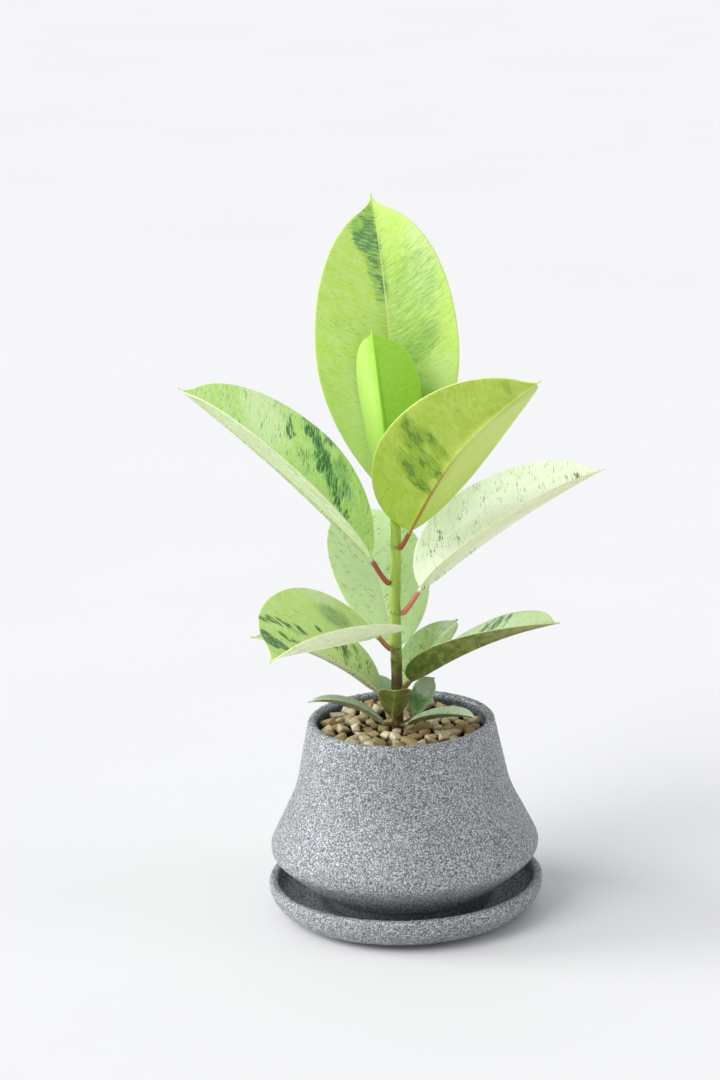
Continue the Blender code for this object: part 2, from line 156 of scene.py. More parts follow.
RIB_FILLET = 0.5  # rounding where the midrib's side meets the blade
RIB_FILLET_ABOVE = 0.3
MARGIN = 0.9  # width of the blade's rounded edge
MARGIN_MOST = 0.3  # and the most that it takes of half the blade
RIB_COLUMNS = 0.3  # share of the grid's columns that lie close at the midrib
MARGIN_COLUMNS = 0.85  # share after which they lie close at the margin
RIB_SPREAD = (1.35, 0.35)  # reach of the first, in midribs and half widths
FLAT_FROM = 4  # midribs past the midrib at which a section is as flat as the blade
BLADE_START = (0.5, 0.2)  # the blade gets its thickness over half a midrib and 0.2 mm
LAST_COLUMN = 0.999  # past which a column is the blade's edge
VEIN_LEAN = 0.34  # how far a side vein runs forward for each step outward
VEIN_CURVE = 0.0045  # and how much more with the distance squared
PATCH_EDGE = 1.7  # how steeply a patch of marks fades out
# Over which the relief grows from the margin, from the midrib and with the half width
RELIEF_FADES = (4, 5, 12)
SWELL_SIZE = 32  # of the blade's broad, uneven swells
SWELL_RISE = 0.012  # their height, as a share of the leaf's width
GROOVE = (0.5, 0.22, 12)  # side, depth and start of the groove over the midrib
# Streaks along the side veins: width, length, detail and roughness of their noise
STREAKS = {
    "dash": (0.66, 4.4, 4.0, 0.68),
    "clump": (5.0, 9.0, 1.0, 0.5),
    "torn": (1.3, 6.0, 4.0, 0.7),
    "grain": (0.55, 5.0, 3.0, 0.7),
    "blotch": (5.0, 7.0, 4.0, 0.65),
    "speck": (0.6, 1.7, 2.0, 0.5),
    "glint": (0.5, 2.4, 2.0, 0.6),
    "wobble": (4.0, 9.0, 1.0, 0.5),
}

FLOOR_RADIUS = 14.0  # in metres
FLOOR_WORN = 0.985  # brightness of the floor's darker parts
FLOOR_DROP = 0.2  # below the saucer's underside, so that the faces don't meet
SOFTNESS = 34  # degrees that each light spans
LIGHT_TARGET = (0, 0, 0.2)  # in metres
FRAME_HEIGHT = 36  # of the camera's sensor
CAMERA_PLACE = (-0.0197, -1.7499, 0.6896)  # in metres
CAMERA_DOWN = 15.17  # degrees below level
CAMERA_ROLL = 1.84


def display(red, green, blue):
    """A colour from 0 to 255, as a screen shows it, in scene linear values."""
    shades = [value / 255 for value in (red, green, blue)]
    return [s / 12.92 if s <= 0.04045 else ((s + 0.055) / 1.055) ** 2.4 for s in shades]


def color_property(name, description, default):
    return FloatVectorProperty(
        name=name, description=description, default=default, subtype="COLOR", size=3, min=0, max=1
    )


def length_property(name, description, default):
    return FloatProperty(name=name, description=description, default=default * MM, unit="LENGTH")


class PotSettings(PropertyGroup):
    """Sizes and colours of the pot and the saucer."""

    facets: IntProperty(
        name="Facets", description="Steps round the pot", default=308, min=48, max=400
    )
    relief: length_property("Relief", "Height of the stucco's bumps", 0.3)
    body: color_property("Body", "Grey of the stucco", display(142, 147, 151))
    # Painted highlight: the glints on the coat's crests and beads
    glint: color_property("Crests", "Silvery grey of the wrinkles' crests", display(244, 248, 252))
    # Darker grey for the coat's broad tone, and painted shade in its pits and inside the rim
    tone_and_shade: color_property("Pits", "Grey in the pits between the bumps", display(66, 70, 72))


class GravelSettings(PropertyGroup):
    """Colours and finish of the top dressing."""

    wear: FloatProperty(
        name="Wear", description="How worn the stones' edges are", default=0.45,
        subtype="FACTOR", min=0, max=1,
    )
    light: color_property("Light stones", "Palest stones", display(246, 232, 200))
    dark: color_property("Dark stones", "Darkest stones", display(174, 144, 98))
    olive: color_property("Olive stones", "Greenish tan stones", display(180, 166, 112))
    # Dust in the pits, and also the painted shade on each stone's lower sides
    dust_and_shade: color_property("Dust", "Dust in the stones' pits", display(74, 58, 34))
    # Also the colour of the painted shade deep among the stones
    soil: color_property("Soil", "Damp potting mix", display(48, 36, 27))


class StemSettings(PropertyGroup):
    """Colours of the stem from its tip to its foot."""

    young: color_property("Young", "Green of the upper stem", display(172, 200, 78))
    middle: color_property("Middle", "Green of the middle stem", display(144, 170, 62))
    streak: color_property("Streaks", "Pale streaks on the green", display(196, 214, 122))
    old: color_property("Old", "Brown of the woody part", display(98, 72, 42))
    foot: color_property("Foot", "Dark brown above the gravel", display(62, 40, 26))
    scar: color_property("Scars", "Leaf scars", display(112, 98, 50))


class LeafSettings(PropertyGroup):
    """Detail and shared colours of the leaves."""

    lengthwise: IntProperty(
        name="Steps along", description="Steps along a large blade", default=96, min=24, max=160
    )
    crosswise: IntProperty(
        name="Steps across", description="Steps across a large blade", default=36, min=16, max=64
    )
    thickness: length_property("Thickness", "Thickness of the blades", 0.8)
    quilting: length_property("Quilting", "Rise of the blade between side veins", 0.04)
    vein_spacing: length_property("Vein spacing", "Distance between side veins", 5.2)
    vein: color_property("Veins", "Pale side veins", display(226, 240, 170))


class StageSettings(PropertyGroup):
    """The floor, the lights and the camera."""

    floor: color_property("Floor", "Pale floor", display(229, 228, 228))
    sky: color_property("Sky", "Light from all round", display(246, 249, 255))
    sky_strength: FloatProperty(
        name="Sky strength", description="Strength of the light from all round", default=0.61
    )
    key: FloatProperty(
        name="Key light", description="Strength of the soft light from the upper left", default=1.55
    )
    window: FloatProperty(
        name="Window", description="Strength of the low light from the left", default=2.45
    )
    fill: FloatProperty(
        name="Fill light", description="Strength of the low light from the right", default=0.38
    )
    focal: FloatProperty(
        name="Focal length", description="Of the camera, on a 36 mm frame", default=110.0,
        subtype="DISTANCE_CAMERA",
    )


class Tree:
    """A node tree in the making: each method adds a node and gives its output."""

    def __init__(self, tree):
        self.tree = tree

    def add(self, kind, inputs=(), **settings):
        node = self.tree.nodes.new(kind)
        for key, value in settings.items():
            setattr(node, key, value)
        self.feed_all(node.inputs, dict(inputs))
        return node

    def feed(self, socket, value):
        if isinstance(value, bpy.types.NodeSocket):
            self.tree.links.new(value, socket)
        elif socket.type == "RGBA" and len(value) == 3:
            socket.default_value = (*value, 1)
        else:
            socket.default_value = value

    def feed_all(self, sockets, values):
        for key, value in values.items():
            self.feed(sockets[key], value)

    def math(self, operation, *values, clamp=False):
        node = self.add("ShaderNodeMath", enumerate(values), operation=operation, use_clamp=clamp)
        return node.outputs[0]

    def times(self, first, second, clamp=False):
        return self.math("MULTIPLY", first, second, clamp=clamp)

    def times_plus(self, first, second, added):
        return self.math("MULTIPLY_ADD", first, second, added)

    def step(self, value, low, high, bottom=0.0, top=1.0):
        """Goes smoothly from bottom to top as value goes from low to high."""
        inputs = {"Value": value, "From Min": low, "From Max": high}
        inputs.update({"To Min": bottom, "To Max": top})
        node = self.add("ShaderNodeMapRange", inputs, interpolation_type="SMOOTHSTEP")
        return node.outputs["Result"]

    def mix(self, factor, first, second):
        node = self.add("ShaderNodeMix", data_type="RGBA")
        for key, value in {"Factor": factor, "A": first, "B": second}.items():
            socket = next(s for s in node.inputs if s.name == key and s.enabled)
            self.feed(socket, value)
        return next(s for s in node.outputs if s.enabled)

    def over(self, color, mask, share, top):
        """Lays a colour over another where the mask says, this strongly."""
        return self.mix(self.times(mask, share, clamp=True), color, top)

    def vector(self, x, y, z):
        return self.add("ShaderNodeCombineXYZ", {"X": x, "Y": y, "Z": z}).outputs[0]

    def split(self, vector):
        return self.add("ShaderNodeSeparateXYZ", {"Vector": vector}).outputs

    def noise(self, vector, scale, detail=2.0, roughness=0.5, distortion=0.0):
        inputs = {"Vector": vector, "Scale": scale, "Detail": detail}
        inputs.update({"Roughness": roughness, "Distortion": distortion})
        return self.add("ShaderNodeTexNoise", inputs).outputs["Fac"]

    def cells(self, vector, scale):
        inputs = {"Vector": vector, "Scale": scale}
        return self.add("ShaderNodeTexVoronoi", inputs).outputs["Distance"]

    def bump(self, height, distance, strength=1.0):
        inputs = {"Height": height, "Distance": distance * MM, "Strength": strength}
        return self.add("ShaderNodeBump", inputs).outputs["Normal"]

    def attribute(self, name, output):
        return self.add("ShaderNodeAttribute", attribute_name=name).outputs[output]

    def place(self):
        return self.add("ShaderNodeTexCoord").outputs["Object"]


def new_material(name):
    """A node material, as its tree in the making and its shader."""
    made = bpy.data.materials.new(name)
    made.use_nodes = True
    return made, Tree(made.node_tree), made.node_tree.nodes["Principled BSDF"]


def node_group(name, vectors, numbers, outputs):
    """A shader group with these vector inputs, number inputs with defaults, and masks."""
    made = bpy.data.node_groups.new(name, "ShaderNodeTree")
    for label in vectors:
        made.interface.new_socket(label, in_out="INPUT", socket_type="NodeSocketVector")
    for label, default in numbers.items():
        socket = made.interface.new_socket(label, in_out="INPUT", socket_type="NodeSocketFloat")
        socket.default_value = default
    for label in outputs:
        made.interface.new_socket(label, in_out="OUTPUT", socket_type="NodeSocketFloat")
    tree = Tree(made)
    return made, tree, tree.add("NodeGroupInput").outputs, tree.add("NodeGroupOutput").inputs


def use_group(tree, name, build, inputs):
    """The outputs of the named group, which is built the first time that it is used."""
    group = bpy.data.node_groups.get(name) or build(name)
    node = tree.add("ShaderNodeGroup", node_tree=group)
    tree.feed_all(node.inputs, inputs)
    return node.outputs


def stucco_group(name):
    """The worm-like crests, the beads and the pits of the wrinkled coat."""
    outputs = ["Bead", "Crest", "Pit", "Height"]
    made, tree, given, out = node_group(name, ["Place"], {"Scale": 800.0}, outputs)
    bumps = tree.noise(given["Place"], given["Scale"], 1.0, 0.5, 0.8)
    off = tree.math("ABSOLUTE", tree.math("SUBTRACT", bumps, 0.5))
    crest = tree.step(off, 0.065, 0.025)
    fine = tree.noise(given["Place"], tree.times(given["Scale"], 3.5), 2.0, 0.6)
    beads = tree.cells(given["Place"], tree.times(given["Scale"], 1.05))
    bead = tree.step(beads, 0.34, 0.24)
    tree.feed_all(out, {
        "Bead": bead,
        "Crest": crest,
        "Pit": tree.step(off, 0.075, 0.12),
        "Height": tree.times_plus(bead, 0.5, tree.times_plus(fine, 0.4, crest)),
    })
    return made


def mottle_group(name):
    """Broad and fine changes of tone, as on stone, bark and soil."""
    numbers = {"Broad": 60.0, "Fine": 900.0}
    made, tree, given, out = node_group(name, ["Place"], numbers, ["Tone", "Grain"])
    tree.feed_all(out, {
        "Tone": tree.step(tree.noise(given["Place"], given["Broad"], 3.0), 0.35, 0.65),
        "Grain": tree.noise(given["Place"], given["Fine"], 4.0, 0.65),
    })
    return made


def mottle(tree, broad, fine=900.0):
    """The mottling's outputs, with its broad and fine grains in a metre."""
    inputs = {"Place": tree.place(), "Broad": broad, "Fine": fine}
    return use_group(tree, "mottle", mottle_group, inputs)


def vein_group(name):
    """The marks of a variegated blade, in millimetres along and across it."""
    numbers = {"Seed": 0.0, "Vein spacing": 5.2}
    outputs = ["Dashes", "Halo", "Wash", "Pale", "Blotches", "Specks", "Flecks", "Veins",
               "Cells", "Grain"]
    made, tree, given, out = node_group(name, ["Blade", "Marks"], numbers, outputs)
    along, across, _ = tree.split(given["Blade"])
    density, wash, pale = tree.split(given["Marks"])
    outward = tree.math("ABSOLUTE", across)
    curve = tree.times_plus(tree.times(outward, outward), VEIN_CURVE,
                            tree.times(outward, VEIN_LEAN))
    vein = tree.math("SUBTRACT", along, curve)

    def streaks(kind):
        """Noise drawn out along the side veins."""
        width, length, detail, roughness = STREAKS[kind]
        place = (tree.math("DIVIDE", vein, width), tree.math("DIVIDE", across, length))
        return tree.noise(tree.vector(*place, given["Seed"]), 1.0, detail, roughness)

    lines = streaks("dash")
    clumps = tree.times_plus(tree.step(streaks("clump"), 0.35, 0.65), 0.8, 0.5)
    clumps = tree.math("MINIMUM", tree.times(density, clumps), 1.2)
    above = tree.math("SUBTRACT", lines, tree.times_plus(clumps, -0.26, 0.765))
    fill = tree.times_plus(tree.math("SUBTRACT", streaks("torn"), 0.5), 1.5, wash)
    grain = streaks("grain")
    broken = tree.step(grain, 0.36, 0.58, 0.35, 1.0)
    wavy = tree.math("ADD", vein, tree.times(streaks("wobble"), 2.2))
    turn = tree.math("FRACT", tree.math("DIVIDE", wavy, given["Vein spacing"]))
    ridge = tree.math("ABSOLUTE", tree.math("SUBTRACT", turn, 0.5))
    tree.feed_all(out, {
        "Dashes": tree.step(above, 0.0, 0.035),
        "Halo": tree.step(above, -0.09, -0.01),
        "Wash": tree.times(tree.step(fill, 0.25, 0.9), broken),
        # The pale mark is in places painted sheen or painted light
        "Pale": tree.times(pale, tree.step(lines, 0.2, 0.5), clamp=True),
        "Blotches": tree.step(streaks("blotch"), 0.42, 0.6),
        "Specks": tree.step(streaks("speck"), 0.66, 0.74),
        "Flecks": tree.step(streaks("glint"), 0.5, 0.36),
        "Veins": tree.step(ridge, 0.09, 0.0),
        "Cells": tree.noise(given["Blade"], 2.2, 2.0, 0.6),
        "Grain": tree.step(grain, 0.5, 0.66),
    })
    return made


def place_object(name, data):
    """A new object in the scene that shows this mesh, light or camera."""
    obj = bpy.data.objects.new(name, data)
    bpy.context.scene.collection.objects.link(obj)
    return obj


def mesh_object(name, bm, look):
    """A new object from a finished mesh, which it uses up."""
    mesh = bpy.data.meshes.new(name)
    bm.to_mesh(mesh)
    bm.free()
    mesh.materials.append(look)
    return place_object(name, mesh)


def add_piece(node, bm, look):
    """Puts a finished mesh in the scene in place of its CAD node."""
    obj = mesh_object(f"{node}_dressed", bm, look)
    obj.data.shade_smooth()
    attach(obj, BODY)
    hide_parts(node)


def rounded(corners):
    """The profile's points in millimetres, with each corner's fillet as an arc."""
    points = [Vector(corner[:2]) for corner in corners]
    path = []
    for index, (point, corner) in enumerate(zip(points, corners)):
        if index in (0, len(points) - 1) or corner[2] == 0:
            path.append(point)
            continue
        back = (points[index - 1] - point).normalized()
        ahead = (points[index + 1] - point).normalized()
        half = back.angle(ahead) / 2
        centre = point + (back + ahead).normalized() * (corner[2] / math.sin(half))
        start = point + back * (corner[2] / math.tan(half)) - centre
        sweep = (math.pi - 2 * half) * (1 if back.cross(ahead) > 0 else -1)
        steps = max(2, round(abs(sweep) / math.radians(ARC_STEP)))
        for step in range(steps + 1):
            path.append(centre + Matrix.Rotation(-sweep * step / steps, 2) @ start)
    return path


def evenly(path, spacing):
    """The same profile with no step longer than the spacing."""
    close = [path[0]]
    for start, end in zip(path, path[1:]):
        count = max(1, math.ceil((end - start).length / spacing))
        close += [start.lerp(end, step / count) for step in range(1, count + 1)]
    return close


def turned(path, facets):
    """A profile in millimetres turned about the pot's axis, closed at its poles."""
    bm = bmesh.new()
    verts = [bm.verts.new((point.x * MM, 0, point.y * MM)) for point in path]
    edges = [bm.edges.new(pair) for pair in zip(verts, verts[1:])]
    bmesh.ops.spin(
        bm, geom=verts + edges, axis=(0, 0, 1), cent=(0, 0, 0), angle=2 * math.pi,
        steps=facets, use_merge=True,
    )
    bmesh.ops.remove_doubles(bm, verts=bm.verts, dist=0.002 * MM)
    bmesh.ops.recalc_face_normals(bm, faces=bm.faces)
    return bm


def add_stucco(bm, relief, rest):
    """Raises the coat's bumps, except where the piece rests at this height."""
    bm.normal_update()
    moves = []
    for vert in bm.verts:
        spot = vert.co / (STUCCO_GRAIN * MM)
        finer = spot * STUCCO_FINER + Vector(STUCCO_SHIFT)
        height = noise.noise(spot) + 0.5 * noise.noise(finer)
        fade = min(1.0, abs(vert.co.z / MM - rest) / REST_BAND)
        moves.append(vert.normal * (height * relief * fade))
    for vert, move in zip(bm.verts, moves):
        vert.co += move


def stucco_material(settings, name):
    made, tree, shader = new_material(name)
    place = tree.place()
    coat = use_group(tree, "stucco", stucco_group, {"Place": place})
    color = tree.over(settings.body, mottle(tree, 38.0)["Tone"], 0.22, settings.tone_and_shade)
    # Painted shade in the pits between the bumps
    color = tree.over(color, coat["Pit"], 0.65, settings.tone_and_shade)
    # Painted highlights on the crests and the beads
    color = tree.over(color, coat["Crest"], 0.6, settings.glint)
    color = tree.over(color, coat["Bead"], 0.9, settings.glint)
    # Painted shade: nearer the axis than the rim's inside and lower than the rim, the coat is
    # darkened
    x, y, height = tree.split(place)
    axis = tree.add("ShaderNodeVectorMath", {0: tree.vector(x, y, 0.0)}, operation="LENGTH")
    inner = tree.step(axis.outputs["Value"], RIM_EDGE[0] * MM, RIM_EDGE[1] * MM)
    below = tree.step(height, RIM_HEIGHT * MM, INNER_SHADE_TOP * MM)
    tree.feed_all(shader.inputs, {
        "Base Color": tree.over(color, tree.times(inner, below), 0.55, settings.tone_and_shade),
        "Roughness": tree.step(coat["Height"], 0.2, 1.4, 0.62, 0.34),
        "Metallic": tree.times_plus(coat["Crest"], 0.2, 0.1),
        "Normal": tree.bump(coat["Height"], 0.5),
    })
    return made


def add_coated(node, corners, rest, settings):
    """Turns a profile into a piece with a stucco coat that rests at this height."""
    bm = turned(evenly(rounded(corners), STUCCO_STEP), settings.facets)
    add_stucco(bm, settings.relief, rest)
    add_piece(node, bm, stucco_material(settings, f"stucco_{node}"))


def stone_spots(rng, count, clear):
    """Seeded spots over the bed that keep their spacing and leave the stem free."""
    middle = stem_at(STONE_HEIGHT)[0]
    spots = []
    for _ in range(STONE_TRIES):
        reach = STONE_REACH * math.sqrt(rng.random())
        turn = rng.uniform(0, 2 * math.pi)
        spot = Vector((reach * math.cos(turn), reach * math.sin(turn)))
        clear_of_stem = (spot - Vector((middle, 0))).length > STEM_CLEAR
        if clear_of_stem and all((spot - other).length > clear for other in spots):
            spots.append(spot)
        if len(spots) == count:
            break
    return spots


def add_stone(bm, rng, spot, height, scale, wear):
    """A broken chip: a worn block, laid nearly flat, with its own tint."""
    tint = bm.verts.layers.float_vector["tint"]
    stone = bmesh.new()
    bmesh.ops.create_cube(stone, size=2)
    size = rng.uniform(*STONE_SIZES) * scale * MM
    long = STONE_HALF[0] * rng.uniform(*STONE_STRETCH)
    for vert in stone.verts:
        vert.co = Vector(side * rng.uniform(*STONE_DENTS) * size for side in vert.co)
    bmesh.ops.scale(stone, verts=stone.verts, vec=(long, *STONE_HALF[1:]))
    for axis in ("X", "Y"):
        tilt = rng.uniform(-STONE_TILT, STONE_TILT)
        bmesh.ops.rotate(stone, verts=stone.verts, matrix=Matrix.Rotation(tilt, 3, axis))
    turn = Matrix.Rotation(rng.uniform(0, math.pi), 3, "Z")
    bmesh.ops.rotate(stone, verts=stone.verts, matrix=turn)
    height += rng.uniform(*STONE_LEVELS) - STONE_FALL * (spot.length / STONE_REACH)
    place = Vector((*spot, height)) * MM
    bmesh.ops.translate(stone, verts=stone.verts, vec=place)
    if scale == 1:
        inward = max(0, max(vert.co.xy.length for vert in stone.verts) - STONE_LIMIT * MM)
        upward = max(0, STONE_LOWEST * MM - min(vert.co.z for vert in stone.verts))
        move = (*(place.xy.normalized() * -inward), upward)
        bmesh.ops.translate(stone, verts=stone.verts, vec=move)
    bmesh.ops.subdivide_edges(stone, edges=stone.edges, cuts=2, use_grid_fill=True)
    chip_faces(stone, *STONE_BREAKS[0])
    bmesh.ops.smooth_vert(stone, verts=stone.verts, factor=wear, use_axis_x=True,
                          use_axis_y=True, use_axis_z=True)
    bmesh.ops.subdivide_edges(stone, edges=stone.edges, cuts=1, use_grid_fill=True)
    chip_faces(stone, *STONE_BREAKS[1])
    shade = noise.noise(Vector((*spot, height)) * STONE_SHADES[0]) * STONE_SHADES[1] + 0.5
    hue = noise.noise(Vector((height, *spot)) * STONE_HUES) + 0.5
    levels = [vert.co.z for vert in stone.verts]
    low, high = min(levels), max(levels)
    copies = {vert: bm.verts.new(vert.co) for vert in stone.verts}
    # The third value is the height within the stone, which sets the painted shade on its lower
    # sides
    for copy in copies.values():
        copy[tint] = (shade, hue, (copy.co.z - low) / (high - low))
    for face in stone.faces:
        bm.faces.new([copies[vert] for vert in face.verts])
    stone.free()


def chip_faces(stone, depth, grain):
    """Roughens a stone by noise of this depth in millimetres and this many grains in one."""
    middle = sum((vert.co for vert in stone.verts), Vector()) / len(stone.verts)
    for vert in stone.verts:
        rough = noise.noise(vert.co / MM * grain) * depth * MM
        vert.co += (vert.co - middle).normalized() * rough


def gravel_mesh(settings):
    """The dark bed, the stones on it and the smaller ones in their gaps."""
    bed = ((0, BED_TOP), (BED_RADIUS, BED_TOP), (BED_RADIUS, BED_BOTTOM), (0, BED_BOTTOM))
    bm = turned([Vector(corner) for corner in bed], BED_FACETS)
    bm.verts.layers.float_vector.new("tint")
    rng = random.Random(STONE_SEED)
    layers = ((STONE_COUNT, STONE_HEIGHT, 1), (FILL_COUNT, FILL_HEIGHT, FILL_SCALE))
    for count, height, scale in layers:
        for spot in stone_spots(rng, count, STONE_SPACING * scale):
            add_stone(bm, rng, spot, height, scale, settings.wear)
    return bm


def gravel_material(settings):
    made, tree, shader = new_material("gravel")
    shade, hue, level = tree.split(tree.attribute("tint", "Vector"))
    tone = mottle(tree, 260.0, 1500.0)
    color = tree.mix(tree.step(shade, 0.1, 0.8), settings.dark, settings.light)
    color = tree.over(color, tree.step(hue, 0.42, 0.75), 0.65, settings.olive)
    color = tree.over(color, tone["Tone"], 0.3, settings.dark)
    color = tree.over(color, tree.step(tone["Grain"], 0.46, 0.32), 0.7, settings.dust_and_shade)
    # Painted shade: each stone darkens towards its lower sides
    color = tree.over(color, tree.step(level, 0.8, 0.25), 0.9, settings.dust_and_shade)
    # Painted shade: the lower a point lies among the stones, the nearer its colour is to the soil's
    top, bottom = (height * MM for height in STONE_DARKER)
    depth = tree.step(tree.split(tree.place())[2], top, bottom)
    tree.feed_all(shader.inputs, {
        "Base Color": tree.over(color, depth, 0.95, settings.soil),
        "Roughness": tree.step(tone["Grain"], 0.3, 0.7, 0.95, 0.75),
        "Normal": tree.bump(tone["Grain"], 0.7, 0.9),
    })
    return made


def soil_material(settings):
    made, tree, shader = new_material("soil")
    tone = mottle(tree, 160.0, 700.0)
    color = tree.mix(tone["Tone"], settings.soil, settings.dust_and_shade)
    tree.feed_all(shader.inputs, {
        "Base Color": tree.mix(tree.step(tone["Grain"], 0.62, 0.75), color, settings.dark),
        "Roughness": tree.step(tone["Grain"], 0.3, 0.7, 1.0, 0.8),
        "Normal": tree.bump(tone["Grain"], 1.5),
    })
    return made


class Leaf:
    """A leaf's place and form, in millimetres and degrees.

    base is where the blade meets its stalk and joint the height of the stalk on the
    stem. heading turns the midrib round +Z from +X, rise lifts it and lean rolls the
    blade about it. bend is how far the midrib droops, sweeps sideways and twists from
    the base to the tip. fold lifts the left and right halves. size is the length and
    the width, and form the share of the length at the widest place with the outline's
    tapers before and after it. stalk is the stalk's radius, and hook how much farther
    the drip tip bends down.
    """

    def __init__(self, name, base, joint, heading, rise, lean, bend, fold, size, form, stalk,
                 hook=0):
        self.name = name
        self.base = Vector(base)
        self.joint = joint
        self.heading, self.rise, self.lean = map(math.radians, (heading, rise, lean))
        self.droop, self.sweep, self.twist = map(math.radians, bend)
        self.fold = [math.radians(angle) for angle in fold]
        self.length, self.width = size
        self.widest, self.base_taper, self.tip_taper = form
        self.stalk = stalk
        self.hook = math.radians(hook)

    def axes(self, along):
        """The midrib's direction, the blade's right side and its upper side."""
        level = Vector((math.sin(self.heading), -math.cos(self.heading), 0))
        ahead = Vector((
            math.cos(self.rise) * math.cos(self.heading),
            math.cos(self.rise) * math.sin(self.heading),
            math.sin(self.rise),
        ))
        above = level.cross(ahead)
        side = math.cos(self.lean) * level + math.sin(self.lean) * above
        up = math.cos(self.lean) * above - math.sin(self.lean) * level
        tip = max(0.0, (along - HOOK_START) / (1 - HOOK_START))
        down, across = self.droop * along + self.hook * tip, self.sweep * along
        forward = math.cos(across) * (math.cos(down) * ahead - math.sin(down) * up)
        forward += math.sin(across) * side
        normal = math.sin(down) * ahead + math.cos(down) * up
        right = normal.cross(forward) * -1
        turn = self.twist * along
        return (
            forward,
            math.cos(turn) * right + math.sin(turn) * normal,
            math.cos(turn) * normal - math.sin(turn) * right,
        )

    def midrib(self, along, steps=40):
        """The point of the midrib at this share of its length."""
        point = self.base.copy()
        for step in range(steps):
            share = along * (step + 0.5) / steps
            point += self.axes(share)[0] * (self.length * along / steps)
        return point

    def half_width(self, along):
        """An ellipse-like outline, widest at its own share, that ends in a drip tip."""
        if along < self.widest:
            share = 1 - (1 - along / self.widest) ** BASE_POWER
            return max(self.width / 2 * share**self.base_taper, BLADE_ENDS)
        reach = 1 - TIP_SHARE - self.widest
        fall = min(1.0, (along - self.widest) / reach)
        outline = (1 - fall**TIP_POWER) ** self.tip_taper
        shoulder = (1 - TIP_WIDTH ** (1 / self.tip_taper)) ** (1 / TIP_POWER)
        shoulder = self.widest + reach * shoulder
        if along > shoulder:
            drip = TIP_WIDTH * ((1 - along) / (1 - shoulder)) ** TIP_CURVE
            outline = max(outline, drip)
        return max(self.width / 2 * outline, BLADE_ENDS)


LEAVES = [
    Leaf("leaf_top_back", (-1.5, 9.5, 236.5), 229.0, -3, 86, -83, (21, -16, 0),
         (15, 15), (168, 82), (0.49, 0.86, 0.56), 1.5),
    Leaf("leaf_young", (-0.5, -10.5, 237.0), 226.0, 170, 85, -69, (0, 1, 0),
         (27, 26), (98, 44), (0.66, 0.5, 0.45), 1.3),
    Leaf("leaf_upper_right", (8.0, -11.0, 222.5), 211.0, -52, 58, 16, (20, -19, -1),
         (25, 28), (135, 78), (0.39, 0.5, 0.62), 1.25),
    Leaf("leaf_left", (-14.5, -3.0, 205.5), 190.5, 194, 50, 29, (13, 4, -8),
         (36, 33), (144, 74), (0.43, 0.65, 0.54), 1.35),
    Leaf("leaf_right", (13.0, -3.0, 187.0), 173.0, 9, 37, -7, (15, -1, -3),
         (35, 35), (122, 68), (0.34, 0.54, 0.64), 1.35),
    Leaf("leaf_back", (-2.5, 8.0, 150.0), 146.0, 106, 50, -5, (18, 6, 0),
         (14, 12), (100, 60), (0.52, 0.6, 0.56), 1.3),
    Leaf("leaf_lower_left", (-12.6, -9.7, 163.4), 153.0, 247, 11, 24, (14, 17, -24),
         (35, 32), (103, 80), (0.53, 0.77, 0.42), 1.3, 65),
    Leaf("leaf_lower_left_under", (-12.0, 0.0, 127.0), 123.0, 187, 45, 12, (35, -4, -2),
         (26, 28), (80, 48), (0.5, 0.52, 0.85), 1.2),
    Leaf("leaf_lower_right", (6.0, -5.0, 135.0), 130.0, -20, 35, 15, (21, 2, -18),
         (25, 23), (98, 47), (0.34, 0.5, 0.52), 1.3),
    Leaf("leaf_lower_right_back", (2.5, 10.5, 127.0), 124.5, 48, 44, 11, (20, 6, 0),
         (14, 11), (52, 33), (0.53, 0.57, 0.61), 1.3),
    Leaf("leaf_small_back", (-4.5, 6.5, 117.5), 114.0, 126, 44, 0, (10, 0, 0),
         (12, 12), (22, 15), (0.5, 0.5, 0.6), 0.9),
    Leaf("leaf_small_front", (-4.0, -7.0, 113.5), 110.0, -87, 47, 2, (3, 0, 0),
         (25, 26), (34, 21), (0.66, 0.7, 0.5), 1.1),
    Leaf("leaf_small_upright", (6.7, -1.0, 112.5), 109.5, 6, 63, -38, (1, 3, -6),
         (15, 17), (25.5, 16), (0.6, 0.62, 0.45), 0.9, 80),
    Leaf("leaf_small_right", (3.5, -10.5, 111.5), 109.0, -17, 24, 2, (29, 4, 0),
         (24, 25), (41, 17), (0.55, 0.5, 0.6), 0.9),
    Leaf("leaf_small_left", (-10.0, -2.0, 109.5), 109.0, 178, 42, -3, (47, 0, 0),
         (30, 28), (45, 12.5), (0.56, 0.51, 0.6), 0.8, 20),
]
SMALL_LEAF = 46.0  # length below which a leaf has half the steps


class Patch:
    """A place on a blade where its marks gather.

    along and side are its middle, as shares of the length and of the half width, with
    the right side positive. width and reach are its half sizes along the midrib and
    outward, in the same shares. dark, wash and pale are how strong each mark is there.
    """

    def __init__(self, along, side, width, reach, dark, wash=0, pale=0):
        self.along, self.side, self.width, self.reach = along, side, width, reach
        self.marks = Vector((dark, wash, pale))

    def strength(self, leaf, along, out):
        """All three marks at a point given in millimetres along and across."""
        half = leaf.half_width(self.along)
        middle = self.along * leaf.length - vein_lead(abs(self.side) * half)
        far = (along - vein_lead(abs(out)) - middle) / (self.width * leaf.length)
        wide = (out - self.side * half) / (self.reach * half)
        return self.marks * min(1.0, max(0.0, PATCH_EDGE * (1 - math.hypot(far, wide))))


def vein_lead(reach):
    """How far forward a side vein has run at this distance from the midrib."""
    return VEIN_LEAN * reach + VEIN_CURVE * reach * reach


